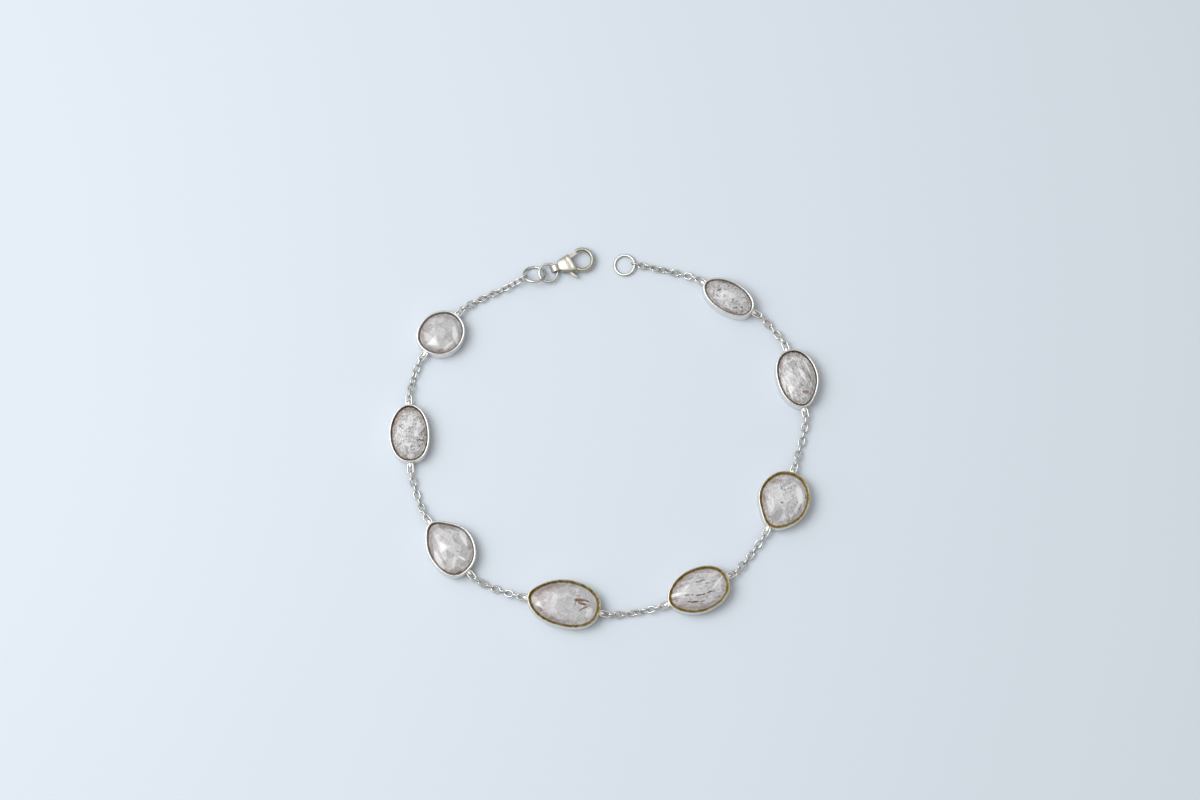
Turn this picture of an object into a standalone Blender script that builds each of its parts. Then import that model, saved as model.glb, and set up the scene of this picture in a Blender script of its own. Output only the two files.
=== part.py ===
"""Bezel chain bracelet, lying open on a flat surface.

Eight rose-cut stones in silver bezels, nine lengths of fine cable chain between them, a lobster clasp on two
jump rings at one end and a ring at the other. Metres, +Z up, the surface at z = 0, the middle of the
bracelet's outer box at x = y = 0. The route runs against the clock from the clasp to the end ring.
"""
import math
from collections import namedtuple

import bmesh
import bpy
from mathutils import Matrix, Vector

# The lie of the bracelet on its surface
LIE_RADIUS = 0.032
LIE_EAST = -0.00013
LIE_NORTH = -0.00016

# Bezels: the largest one's length and width, and the wall, rim and seat that all of them share
BEZEL_LENGTH = 0.0122
BEZEL_WIDTH = 0.0088
BEZEL_HEIGHT = 0.0026
BEZEL_WALL = 0.00036
RIM_LEAN = 0.00014
RIM_BREADTH = 0.0002
RIM_ROUND = 0.00008
LIP_REACH = 0.00022
LIP_DROP = 0.0002
LIP_THICKNESS = 0.00022
SEAT_HEIGHT = 0.00095
SEAT_REACH = 0.00035

# Stones: how far they stand above the rim, and the play in the setting
STONE_RISE = 0.0005
STONE_CLEARANCE = 0.00005

# Soldered loops at both ends of a bezel
LOOP_LENGTH = 0.0021
LOOP_WIDTH = 0.00122
LOOP_WIRE = 0.0003
LOOP_HEIGHT = 0.0013

# Cable chain
LINK_PITCH = 0.00115
LINK_WIDTH = 0.00128
LINK_WIRE = 0.0003
LINK_BITE = 0.00008
CHAIN_HEIGHT = 0.0007
CHAIN_FALL = 5.0
CHAIN_CLEARANCE = 0.0001
CHAIN_STRAIGHTNESS = 0.6

# Rings
RING_WIRE = 0.00045
END_RING_ACROSS = 0.0038
CHAIN_RING_ACROSS = 0.004
CLASP_RING_ACROSS = 0.0035

# Lobster clasp: its height off the surface, its wedge, its eye, its hook and its lever
CLASP_THICKNESS = 0.0021
WEDGE_START = 0.00102
WEDGE_LENGTH = 0.0024
WEDGE_WIDTH = 0.0034
EYE_LENGTH = 0.00174
EYE_HEIGHT = 0.0017
EYE_BAND = 0.00028
EYE_BREADTH = 0.00112
HOOK_LENGTH = 0.00345
HOOK_WIDTH = 0.00355
HOOK_WIRE = 0.0007
HOOK_THICKNESS = 0.0011
LEVER_THICKNESS = 0.00064
LEVER_CLEARANCE = 0.00008
PIN_ACROSS = 0.00044
PIN_CLEARANCE = 0.00004
PIN_SEAT = 0.0003

# How finely round things are divided
BEZEL_SIDES = 20
LINK_SIDES = 10
LINK_WIRE_SIDES = 5
RING_SIDES = 16
RING_WIRE_SIDES = 6
WEDGE_SIDES = 12
ROUTE_SAMPLES = 80

# One row for each bezel. east and north are its middle, as shares of LIE_RADIUS; heading is the way that the
# route runs through it, in degrees; length and width are shares of the largest bezel's. The four diagonal
# shares say how far the outline passes a plain oval (over 1) or falls short of it (under 1) there, looking
# along the heading, and corner is the extra point at its back end. The two turns move the loops round the
# outline, and table_turn turns the stone's facets, in degrees.
Bezel = namedtuple("Bezel", "east north heading length width ahead_left back_left back_right ahead_right "
                            "corner ahead_loop back_loop table_turn")
BEZELS = (
    Bezel(-0.845, 0.543, 239, 0.667, 0.884, 0.97, 1.04, 0.97, 1.08, 0.03, -9, -8, 10),
    Bezel(-1.005, 0.016, 274, 0.820, 0.785, 1.05, 1.02, 0.97, 1.04, 0.00, -3, -3, 24),
    Bezel(-0.788, -0.575, 311, 0.825, 0.907, 0.98, 0.91, 0.94, 1.12, 0.05, -5, -2, 0),
    Bezel(-0.200, -0.866, 347, 1.000, 0.919, 1.06, 0.93, 1.02, 1.05, 0.03, -2, 6, 16),
    Bezel(0.489, -0.800, 23, 0.880, 0.872, 1.03, 0.99, 0.96, 1.04, 0.02, 5, 0, 8),
    Bezel(0.927, -0.334, 63, 0.825, 1.000, 1.03, 0.89, 0.97, 1.01, 0.03, 9, -2, 30),
    Bezel(1.009, 0.306, 105, 0.840, 0.810, 1.05, 1.01, 0.93, 1.00, 0.00, 6, -4, 20),
    Bezel(0.652, 0.737, 149, 0.783, 0.645, 1.00, 1.04, 1.02, 0.98, 0.00, -3, 2, 12),
)
CORNER_SPREAD = 26.0

# Rows of a rose cut's crown, from the girdle up: reach from the middle, height up the crown, corners and
# the turn of the row in half steps
CrownRow = namedtuple("CrownRow", "reach rise corners half_steps")
CROWN = (
    CrownRow(0.78, 0.56, 12, 1),
    CrownRow(0.50, 0.88, 6, 0),
    CrownRow(0.25, 1.00, 6, 1),
)

# Sections of the clasp's wedge, from its neck to the collar's front: how far along, how far the section
# slants, and its width and height, all as shares of the wedge's length, width and thickness
WedgeSection = namedtuple("WedgeSection", "along slant offset width height")
WEDGE = (
    WedgeSection(0.00, 0.05, 0.01, 0.58, 0.74),
    WedgeSection(0.25, 0.10, -0.01, 0.77, 0.87),
    WedgeSection(0.52, 0.15, -0.03, 0.88, 0.94),
    WedgeSection(0.78, 0.21, -0.04, 0.96, 0.94),
    WedgeSection(0.81, 0.21, -0.04, 1.00, 1.00),
    WedgeSection(0.98, 0.17, -0.04, 1.00, 1.00),
    WedgeSection(1.00, 0.16, -0.04, 0.95, 0.92),
)
WEDGE_ROUNDNESS = 0.6

# Places of the clasp's parts in its own frame: x from the eye's middle along the clasp, y to its gate side.
# They are shares of the wedge's length, and the lever's outline is measured from its pin, but the hook's
# middle lies ahead of the collar's front and to the side by shares of the hook's own length and width.
CLASP_EYE = (-0.262, 0.892)
CLASP_HEADING = 20.0
EYE_ALONG = 0.17
HOOK_AHEAD = 0.4835
HOOK_ASIDE = -0.034
HOOK_ROOT_ANGLE = 212.0
HOOK_TIP_ANGLE = 465.0
HOOK_STEPS = 13
LEVER_PIN = (1.075, 0.125)
LEVER_OUTLINE = (
    (0.87, 0.32), (0.80, 0.53), (0.29, 0.45), (0.06, 0.35), (-0.20, 0.19), (-0.27, -0.04), (-0.16, -0.29),
    (-0.10, -0.74), (0.06, -1.09), (0.29, -1.30), (0.35, -1.20), (0.15, -0.83), (0.155, -0.37), (0.22, -0.08),
    (0.35, 0.17),
)
SLOT_BACK = 0.60
SLOT_FRONT = 1.27
SLOT_SILL = -0.33
SLOT_REACH = 2.0

# Where the rings lie: east and north as shares of LIE_RADIUS
CLASP_RING_MIDDLE = (-0.289, 0.873)
CHAIN_RING_MIDDLE = (-0.362, 0.863)
END_RING_MIDDLE = (0.111, 0.919)
CLASP_RING_HEIGHT = 0.0011
CLASP_RING_TILT = 4.0
CHAIN_RING_HEIGHT = 0.0013
CHAIN_RING_TILT = 35.0
CHAIN_RING_HANG = 208.0
CHAIN_RING_PULL = 220.0
END_RING_HANG = 4.0
END_RING_PULL = -15.0
END_RING_LIFT = 0.00046


# Materials
def metal(name, colour, roughness):
    """A polished metal."""
    material = bpy.data.materials.new(name)
    material.use_nodes = True
    shader = material.node_tree.nodes["Principled BSDF"]
    shader.inputs["Base Color"].default_value = (*colour, 1.0)
    shader.inputs["Metallic"].default_value = 1.0
    shader.inputs["Roughness"].default_value = roughness
    return material


def crystal(name, colour, roughness):
    """A clear stone of a pale colour."""
    material = bpy.data.materials.new(name)
    material.use_nodes = True
    shader = material.node_tree.nodes["Principled BSDF"]
    shader.inputs["Base Color"].default_value = (*colour, 1.0)
    shader.inputs["Roughness"].default_value = roughness
    shader.inputs["Transmission Weight"].default_value = 0.6
    return material


# Meshes and solids
def new_object(name, bm, material, origin=Vector((0.0, 0.0, 0.0))):
    """An object from a bmesh in world space, with its own origin."""
    bmesh.ops.recalc_face_normals(bm, faces=bm.faces)
    bmesh.ops.translate(bm, verts=bm.verts, vec=-origin)
    mesh = bpy.data.meshes.new(name)
    bm.to_mesh(mesh)
    bm.free()
    mesh.materials.append(material)
    obj = bpy.data.objects.new(name, mesh)
    obj.location = origin
    bpy.context.scene.collection.objects.link(obj)
    bpy.context.view_layer.update()
    return obj


def combine(obj, bm, operation):
    """Joins a bmesh to an object, or cuts it away, and applies the result."""
    tool = new_object(obj.name + "_tool", bm, obj.data.materials[0])
    modifier = obj.modifiers.new(operation.lower(), "BOOLEAN")
    modifier.operation = operation
    modifier.solver = "EXACT"
    modifier.object = tool
    evaluated = obj.evaluated_get(bpy.context.evaluated_depsgraph_get())
    mesh = bpy.data.meshes.new_from_object(evaluated)
    obj.modifiers.remove(modifier)
    plain = obj.data
    obj.data = mesh
    mesh.name = obj.name
    bpy.data.meshes.remove(plain)
    spent = tool.data
    bpy.data.objects.remove(tool)
    bpy.data.meshes.remove(spent)


def plain_tube(sides, levels, closed):
    """A tube of radius 1 whose levels lie at z = 0, 1, 2 ..., to be laid on its real form afterwards.

    A closed tube's last level joins its first, and an open one has a cap at each end.
    """
    bm = bmesh.new()
    bmesh.ops.create_circle(bm, segments=sides, radius=1.0, cap_ends=not closed)
    first = bm.edges[:]
    last = first
    for level in range(1, levels):
        out = bmesh.ops.extrude_edge_only(bm, edges=last)
        raised = [item for item in out["geom"] if isinstance(item, bmesh.types.BMVert)]
        bmesh.ops.translate(bm, verts=raised, vec=(0.0, 0.0, 1.0))
        last = [edge for edge in bm.edges if all(round(vert.co.z) == level for vert in edge.verts)]
    if closed:
        bmesh.ops.bridge_loops(bm, edges=first + last)
    else:
        bmesh.ops.contextual_create(bm, geom=last)
    return bm


def wire_ring(across, wire, sides, wire_sides, stretch=0.0):
    """A ring of round wire in the XY plane, drawn out along X into a link by stretch."""
    bm = bmesh.new()
    profile = bmesh.ops.create_circle(bm, segments=wire_sides, radius=wire / 2)["verts"]
    upright = Matrix.Rotation(math.radians(90), 4, "X") @ Matrix.Rotation(math.radians(90), 4, "Z")
    bmesh.ops.transform(bm, verts=profile, matrix=upright)
    bmesh.ops.translate(bm, verts=profile, vec=((across - wire) / 2, 0.0, 0.0))
    bmesh.ops.spin(bm, geom=bm.verts[:] + bm.edges[:], cent=(0, 0, 0), axis=(0, 0, 1),
                   angle=math.radians(360), steps=sides, use_merge=True)
    for vert in bm.verts:
        vert.co.x += math.copysign(stretch / 2, vert.co.x)
    return bm


def merged(parts):
    """One bmesh from several, each with the matrix that places it."""
    whole = bmesh.new()
    for bm, matrix in parts:
        bmesh.ops.transform(bm, verts=bm.verts, matrix=matrix)
        mesh = bpy.data.meshes.new("part")
        bm.to_mesh(mesh)
        bm.free()
        whole.from_mesh(mesh)
        bpy.data.meshes.remove(mesh)
    return whole


def frame_along(point, direction, roll):
    """A matrix at a point: X along the direction, and Z up but for a roll about X, in degrees."""
    ahead = direction.normalized()
    side = Vector((0.0, 0.0, 1.0)).cross(ahead).normalized()
    up = ahead.cross(side)
    turn = math.radians(roll)
    left = side * math.cos(turn) + up * math.sin(turn)
    normal = up * math.cos(turn) - side * math.sin(turn)
    matrix = Matrix((ahead, left, normal)).transposed().to_4x4()
    matrix.translation = point
    return matrix


def heading_vector(degrees):
    """The level direction at an angle from +X."""
    return Vector((math.cos(math.radians(degrees)), math.sin(math.radians(degrees)), 0.0))


def lie_point(shares, height):
    """A place on the surface, from its shares of the lie's radius."""
    return Vector((shares[0] * LIE_RADIUS + LIE_EAST, shares[1] * LIE_RADIUS + LIE_NORTH, height))


# Bezels and stones
def outline_share(row, turn):
    """How far the outline reaches at this turn, as a share of its oval's reach."""
    shares = (1.0, row.ahead_left, 1.0, row.back_left, 1.0, row.back_right, 1.0, row.ahead_right)
    place = (turn % 360.0) / 45.0
    step = int(place) % 8
    t = place - int(place)
    before, start, end, after = (shares[(step + k) % 8] for k in (-1, 0, 1, 2))
    smooth = 0.5 * (2 * start + (end - before) * t + (2 * before - 5 * start + 4 * end - after) * t ** 2
                    + (3 * start - before - 3 * end + after) * t ** 3)
    off_back = (turn % 360.0) - 180.0
    return smooth + row.corner * math.exp(-(off_back / CORNER_SPREAD) ** 2)


def outline_point(row, turn, inset=0.0):
    """A point of a bezel's outline in its own frame, moved in by inset at right angles to the outline."""
    def reach(at):
        share = outline_share(row, at)
        angle = math.radians(at)
        return Vector((row.length * BEZEL_LENGTH / 2 * share * math.cos(angle),
                       row.width * BEZEL_WIDTH / 2 * share * math.sin(angle), 0.0))

    step = 360.0 / BEZEL_SIDES / 2
    along = (reach(turn + step) - reach(turn - step)).normalized()
    outward = Vector((along.y, -along.x, 0.0))
    return reach(turn) - outward * inset


def bezel_frame(row):
    """A matrix at a bezel's middle on the surface, X along its heading."""
    return frame_along(lie_point((row.east, row.north), 0.0), heading_vector(row.heading), 0.0)


def bezel_profile():
    """The wall's section: insets from the outline and heights, from the outer foot up and round."""
    crest = RIM_LEAN + RIM_BREADTH
    return (
        (0.0, 0.0),
        (RIM_LEAN, BEZEL_HEIGHT - RIM_ROUND),
        (crest, BEZEL_HEIGHT),
        (crest + LIP_REACH, BEZEL_HEIGHT - LIP_DROP),
        (BEZEL_WALL, BEZEL_HEIGHT - LIP_DROP - LIP_THICKNESS),
        (BEZEL_WALL, SEAT_HEIGHT),
        (BEZEL_WALL + SEAT_REACH, SEAT_HEIGHT),
        (BEZEL_WALL + SEAT_REACH, 0.0),
    )


def loop_matrix(row, turn):
    """A soldered loop's place in its bezel's frame: its inner end lies in the middle of the wall."""
    foot = outline_point(row, turn)
    outward = foot.normalized()
    middle = foot + outward * (LOOP_LENGTH / 2 - (BEZEL_WALL + LOOP_WIRE) / 2)
    return frame_along(middle + Vector((0.0, 0.0, LOOP_HEIGHT)), outward, 0.0)


def make_bezel(name, row, material):
    """One bezel: the wall with its rim and seat, and the two loops soldered to it."""
    profile = bezel_profile()
    place = bezel_frame(row)
    bm = plain_tube(BEZEL_SIDES, len(profile), closed=True)
    for vert in bm.verts:
        inset, height = profile[round(vert.co.z)]
        turn = math.degrees(math.atan2(vert.co.y, vert.co.x))
        vert.co = outline_point(row, turn, inset) + Vector((0.0, 0.0, height))
    bmesh.ops.transform(bm, verts=bm.verts, matrix=place)
    bezel = new_object(name, bm, material)
    loops = []
    for turn in (row.ahead_loop, 180.0 + row.back_loop):
        loop = wire_ring(LOOP_WIDTH, LOOP_WIRE, LINK_SIDES, LINK_WIRE_SIDES, LOOP_LENGTH - LOOP_WIDTH)
        loops.append((loop, place @ loop_matrix(row, turn)))
    combine(bezel, merged(loops), "UNION")
    return bezel


def make_stone(name, row, material):
    """A rose cut: a flat back on the seat, a girdle inside the wall and rows of facets up to a small table."""
    inset = BEZEL_WALL + STONE_CLEARANCE
    back = SEAT_HEIGHT + STONE_CLEARANCE
    girdle = BEZEL_HEIGHT - LIP_DROP - LIP_THICKNESS - STONE_CLEARANCE
    crown = BEZEL_HEIGHT + STONE_RISE - girdle
    bm = bmesh.new()
    for side in range(BEZEL_SIDES):
        edge = outline_point(row, side * 360.0 / BEZEL_SIDES, inset)
        bm.verts.new(edge + Vector((0.0, 0.0, back)))
        bm.verts.new(edge + Vector((0.0, 0.0, girdle)))
    for ring in CROWN:
        for corner in range(ring.corners):
            turn = (corner + ring.half_steps / 2) * 360.0 / ring.corners + row.table_turn
            edge = outline_point(row, turn, inset) * ring.reach
            bm.verts.new(edge + Vector((0.0, 0.0, girdle + crown * ring.rise)))
    hull = bmesh.ops.convex_hull(bm, input=bm.verts[:])
    spare = [item for item in hull["geom_interior"] if isinstance(item, bmesh.types.BMVert)]
    bmesh.ops.delete(bm, geom=spare, context="VERTS")
    bmesh.ops.transform(bm, verts=bm.verts, matrix=bezel_frame(row))
    return new_object(name, bm, material)


# Chain
Anchor = namedtuple("Anchor", "point outward wire roll")


def loop_anchor(row, turn):
    """Where a chain holds on to a bezel's loop."""
    frame = bezel_frame(row) @ loop_matrix(row, turn)
    outward = frame.to_3x3() @ Vector((1.0, 0.0, 0.0))
    return Anchor(frame.translation + outward * (LOOP_LENGTH - LOOP_WIRE) / 2, outward, LOOP_WIRE, 90.0)


def rise_left(height, distance):
    """How far a chain that starts at this height still is above its lying height at a distance from there."""
    rise = height - CHAIN_HEIGHT
    share = max(0.0, 1.0 - distance / (CHAIN_FALL * max(abs(rise), LINK_WIRE)))
    return rise * share * share * (3.0 - 2.0 * share)


def route(start, end):
    """A smooth way from one anchor to the next, down to the chain's height and up again, as many points."""
    inside_start = start.point - start.outward * ((start.wire + LINK_WIRE) / 2 + CHAIN_CLEARANCE)
    inside_end = end.point - end.outward * ((end.wire + LINK_WIRE) / 2 + CHAIN_CLEARANCE)
    chord = inside_end - inside_start
    span = chord.length
    leaving = start.outward.lerp(chord / span, CHAIN_STRAIGHTNESS) * span
    arriving = end.outward.lerp(-chord / span, CHAIN_STRAIGHTNESS) * span
    points = []
    for sample in range(ROUTE_SAMPLES + 1):
        t = sample / ROUTE_SAMPLES
        point = (inside_start * (2 * t ** 3 - 3 * t ** 2 + 1) + inside_end * (3 * t ** 2 - 2 * t ** 3)
                 + leaving * (t ** 3 - 2 * t ** 2 + t) - arriving * (t ** 3 - t ** 2))
        point.z = CHAIN_HEIGHT + rise_left(inside_start.z, t * span) + rise_left(inside_end.z, (1.0 - t) * span)
        points.append(point)
    return points


def walk(points, distance):
    """The point at a distance along a run of points, and past its end in a straight line."""
    for first, second in zip(points, points[1:]):
        step = (second - first).length
        if distance <= step:
            return first.lerp(second, distance / step)
        distance -= step
    return points[-1] + (points[-1] - points[-2]).normalized() * distance


def make_chain(name, start, end, material):
    """One length of cable chain: every other link is turned by a quarter, and they are fused where they bite."""
    points = route(start, end)
    length = sum((second - first).length for first, second in zip(points, points[1:]))
    run = length - LINK_WIRE + LINK_BITE
    count = max(2, round(run / LINK_PITCH))
    pitch = run / count
    reach = pitch + LINK_WIRE - LINK_BITE
    quarters = 90.0 * (count - 1) + start.roll - end.roll
    drift = (180.0 * round(quarters / 180.0) - quarters) / (count - 1)
    halves = ([], [])
    for number in range(count):
        near = walk(points, number * pitch)
        far = walk(points, number * pitch + reach)
        link = wire_ring(LINK_WIDTH, LINK_WIRE, LINK_SIDES, LINK_WIRE_SIDES, reach + LINK_WIRE - LINK_WIDTH)
        roll = start.roll + number * (90.0 + drift)
        halves[number % 2].append((link, frame_along((near + far) / 2, far - near, roll)))
    chain = new_object(name, merged(halves[0]), material)
    combine(chain, merged(halves[1]), "UNION")
    return chain


# Rings
def clasp_ring_matrix():
    """The ring in the clasp's eye: nearly flat, its clasp side lower."""
    across = heading_vector(CLASP_HEADING)
    return frame_along(lie_point(CLASP_RING_MIDDLE, CLASP_RING_HEIGHT),
                       across - Vector((0.0, 0.0, math.tan(math.radians(CLASP_RING_TILT)))), 0.0)


def chain_ring_matrix():
    """The ring that the chain hangs on: it leans on the other, its north side on the surface."""
    return frame_along(lie_point(CHAIN_RING_MIDDLE, CHAIN_RING_HEIGHT), Vector((1.0, 0.0, 0.0)), -CHAIN_RING_TILT)


def chain_ring_anchor():
    """Where the first chain holds on to its ring."""
    frame = chain_ring_matrix()
    radius = (CHAIN_RING_ACROSS - RING_WIRE) / 2
    point = frame @ (heading_vector(CHAIN_RING_HANG) * radius)
    return Anchor(point, heading_vector(CHAIN_RING_PULL), RING_WIRE, 90.0 + CHAIN_RING_TILT)


def end_ring_matrix():
    """The end ring: flat but for the side that its chain's last link holds up."""
    radius = (END_RING_ACROSS - RING_WIRE) / 2
    rise = Vector((0.0, 0.0, END_RING_LIFT / (2 * radius)))
    middle = lie_point(END_RING_MIDDLE, RING_WIRE / 2 + END_RING_LIFT / 2)
    return frame_along(middle, heading_vector(END_RING_HANG) + rise, 0.0)


def end_ring_anchor():
    """Where the last chain holds on to the end ring."""
    point = end_ring_matrix() @ Vector(((END_RING_ACROSS - RING_WIRE) / 2, 0.0, 0.0))
    return Anchor(point, heading_vector(END_RING_PULL), RING_WIRE, 90.0)


def make_ring(name, across, matrix, material):
    """A plain ring of round wire."""
    ring = wire_ring(across, RING_WIRE, RING_SIDES, RING_WIRE_SIDES)
    bmesh.ops.transform(ring, verts=ring.verts, matrix=matrix)
    return new_object(name, ring, material)


# Clasp
def clasp_matrix():
    """The clasp's own frame: origin at its eye, X along the clasp."""
    return frame_along(lie_point(CLASP_EYE, CLASP_THICKNESS / 2), heading_vector(CLASP_HEADING), 0.0)


def wedge_solid():
    """The clasp's body from its neck to the collar's front."""
    bm = plain_tube(WEDGE_SIDES, len(WEDGE), closed=False)
    for vert in bm.verts:
        section = WEDGE[round(vert.co.z)]
        angle = math.atan2(vert.co.y, vert.co.x)
        across = math.copysign(abs(math.cos(angle)) ** WEDGE_ROUNDNESS, math.cos(angle))
        up = math.copysign(abs(math.sin(angle)) ** WEDGE_ROUNDNESS, math.sin(angle))
        y = (section.offset + section.width * across / 2) * WEDGE_WIDTH
        x = WEDGE_START + section.along * WEDGE_LENGTH - section.slant * y
        vert.co = Vector((x, y, section.height * up * CLASP_THICKNESS / 2))
    return bm


def eye_solid():
    """The clasp's eye: a band standing on edge, its hole across the clasp."""
    bm = bmesh.new()
    outer = EYE_HEIGHT / 2
    inner = outer - EYE_BAND
    half = EYE_BREADTH / 2
    edge = EYE_BAND / 3
    section = ((inner, -half), (outer - edge, -half), (outer, edge - half), (outer, half - edge),
               (outer - edge, half), (inner, half))
    verts = [bm.verts.new((radius, y, 0.0)) for radius, y in section]
    for first, second in zip(verts, verts[1:] + verts[:1]):
        bm.edges.new((first, second))
    bmesh.ops.spin(bm, geom=bm.verts[:] + bm.edges[:], cent=(0, 0, 0), axis=(0, 1, 0),
                   angle=math.radians(360), steps=RING_SIDES, use_merge=True)
    for vert in bm.verts:
        vert.co.x = vert.co.x * EYE_LENGTH / EYE_HEIGHT + EYE_ALONG * WEDGE_LENGTH
    return bm


def hook_solid():
    """The hook: oval wire round an oval, from its root in the collar to its tip by the gate."""
    bm = bmesh.new()
    profile = bmesh.ops.create_circle(bm, segments=8, radius=HOOK_WIRE / 2)["verts"]
    bmesh.ops.transform(bm, verts=profile, matrix=Matrix.Rotation(math.radians(90), 4, "X"))
    bmesh.ops.scale(bm, verts=profile, vec=(1.0, 1.0, HOOK_THICKNESS / HOOK_WIRE))
    bmesh.ops.translate(bm, verts=profile, vec=(HOOK_WIDTH / 2, 0.0, 0.0))
    bmesh.ops.rotate(bm, verts=profile, cent=(0, 0, 0),
                     matrix=Matrix.Rotation(math.radians(HOOK_ROOT_ANGLE), 3, "Z"))
    first = bm.edges[:]
    out = bmesh.ops.spin(bm, geom=bm.verts[:] + first, cent=(0, 0, 0), axis=(0, 0, 1),
                         angle=math.radians(HOOK_TIP_ANGLE - HOOK_ROOT_ANGLE), steps=HOOK_STEPS)
    last = [item for item in out["geom_last"] if isinstance(item, bmesh.types.BMEdge)]
    bmesh.ops.contextual_create(bm, geom=first)
    bmesh.ops.contextual_create(bm, geom=last)
    for vert in bm.verts:
        vert.co.x = WEDGE_START + WEDGE_LENGTH + (vert.co.x / HOOK_WIDTH + HOOK_AHEAD) * HOOK_LENGTH
        vert.co.y += HOOK_ASIDE * HOOK_WIDTH
    return bm


def plate(points, thickness):
    """A flat plate of a given outline, its middle at z = 0."""
    bm = bmesh.new()
    face = bm.faces.new([bm.verts.new((x, y, -thickness / 2)) for x, y in points])
    out = bmesh.ops.extrude_face_region(bm, geom=[face])
    raised = [item for item in out["geom"] if isinstance(item, bmesh.types.BMVert)]
    bmesh.ops.translate(bm, verts=raised, vec=(0.0, 0.0, thickness))
    return bm


def pin_solid(across, length):
    """A round pin along Z on the lever's axis, its middle at z = 0."""
    bm = bmesh.new()
    bmesh.ops.create_cone(bm, cap_ends=True, segments=WEDGE_SIDES, radius1=across / 2, radius2=across / 2,
                          depth=length)
    bmesh.ops.translate(bm, verts=bm.verts, vec=(LEVER_PIN[0] * WEDGE_LENGTH, LEVER_PIN[1] * WEDGE_LENGTH, 0.0))
    return bm


def slot_solid():
    """The room that the lever swings in, between the body's cheeks."""
    half = WEDGE_WIDTH
    outline = ((SLOT_BACK * WEDGE_LENGTH, -half), (SLOT_FRONT * WEDGE_LENGTH, -half),
               (SLOT_FRONT * WEDGE_LENGTH, SLOT_SILL * WEDGE_LENGTH),
               (SLOT_REACH * WEDGE_LENGTH, SLOT_SILL * WEDGE_LENGTH), (SLOT_REACH * WEDGE_LENGTH, half),
               (SLOT_BACK * WEDGE_LENGTH, half))
    return plate(outline, LEVER_THICKNESS + 2 * LEVER_CLEARANCE)


def make_clasp_body(name, material):
    """The casting: wedge with the slot and the pin's two seats, then the eye and the hook."""
    place = clasp_matrix()
    slot_height = LEVER_THICKNESS + 2 * LEVER_CLEARANCE
    body = new_object(name, merged([(wedge_solid(), place)]), material)
    combine(body, merged([(slot_solid(), place)]), "DIFFERENCE")
    seats = pin_solid(PIN_ACROSS + 2 * PIN_CLEARANCE, slot_height + 2 * (PIN_SEAT + PIN_CLEARANCE))
    combine(body, merged([(seats, place)]), "DIFFERENCE")
    combine(body, merged([(eye_solid(), place)]), "UNION")
    combine(body, merged([(hook_solid(), place)]), "UNION")
    return body


def make_lever(name, material):
    """The lever: gate arm, hub and thumb nub in one plate, bored for its pin, its origin on the pin's axis."""
    place = clasp_matrix()
    pin = Vector((LEVER_PIN[0], LEVER_PIN[1], 0.0)) * WEDGE_LENGTH
    outline = [(pin.x + x * WEDGE_LENGTH, pin.y + y * WEDGE_LENGTH) for x, y in LEVER_OUTLINE]
    lever = new_object(name, merged([(plate(outline, LEVER_THICKNESS), place)]), material, place @ pin)
    bore = pin_solid(PIN_ACROSS + 2 * PIN_CLEARANCE, 2 * LEVER_THICKNESS)
    combine(lever, merged([(bore, place)]), "DIFFERENCE")
    return lever


def make_pin(name, material):
    """The plain pin in its two seats."""
    length = LEVER_THICKNESS + 2 * LEVER_CLEARANCE + 2 * PIN_SEAT
    return new_object(name, merged([(pin_solid(PIN_ACROSS, length), clasp_matrix())]), material)


def main():
    """Builds the whole bracelet."""
    for obj in list(bpy.data.objects):
        bpy.data.objects.remove(obj)
    silver = metal("silver", (0.86, 0.85, 0.82), 0.18)
    stone = crystal("pale crystal", (0.80, 0.75, 0.76), 0.12)
    make_clasp_body("clasp_body", silver)
    make_lever("clasp_lever", silver)
    make_pin("lever_pin", silver)
    make_ring("jump_ring_clasp", CLASP_RING_ACROSS, clasp_ring_matrix(), silver)
    make_ring("jump_ring_chain", CHAIN_RING_ACROSS, chain_ring_matrix(), silver)
    make_ring("end_ring", END_RING_ACROSS, end_ring_matrix(), silver)
    leaving = chain_ring_anchor()
    for number, row in enumerate(BEZELS, 1):
        make_bezel(f"bezel_{number}", row, silver)
        make_stone(f"stone_{number}", row, stone)
        make_chain(f"chain_{number}", leaving, loop_anchor(row, 180.0 + row.back_loop), silver)
        leaving = loop_anchor(row, row.ahead_loop)
    make_chain(f"chain_{len(BEZELS) + 1}", leaving, end_ring_anchor(), silver)


main()
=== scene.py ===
"""Bezel chain bracelet: its silver, its rose-cut stones and the pale table that it lies on.

The lie of the bracelet and its sizes are those of its solids. Places on the table are shares of LIE_RADIUS,
from the middle of the bracelet's box, and headings turn from east (+X), against the clock seen from above.
"""
import math
import random
from collections import namedtuple

import bmesh
import bpy
from bpy.props import FloatProperty, FloatVectorProperty, PointerProperty
from mathutils import Matrix, Vector


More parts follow.
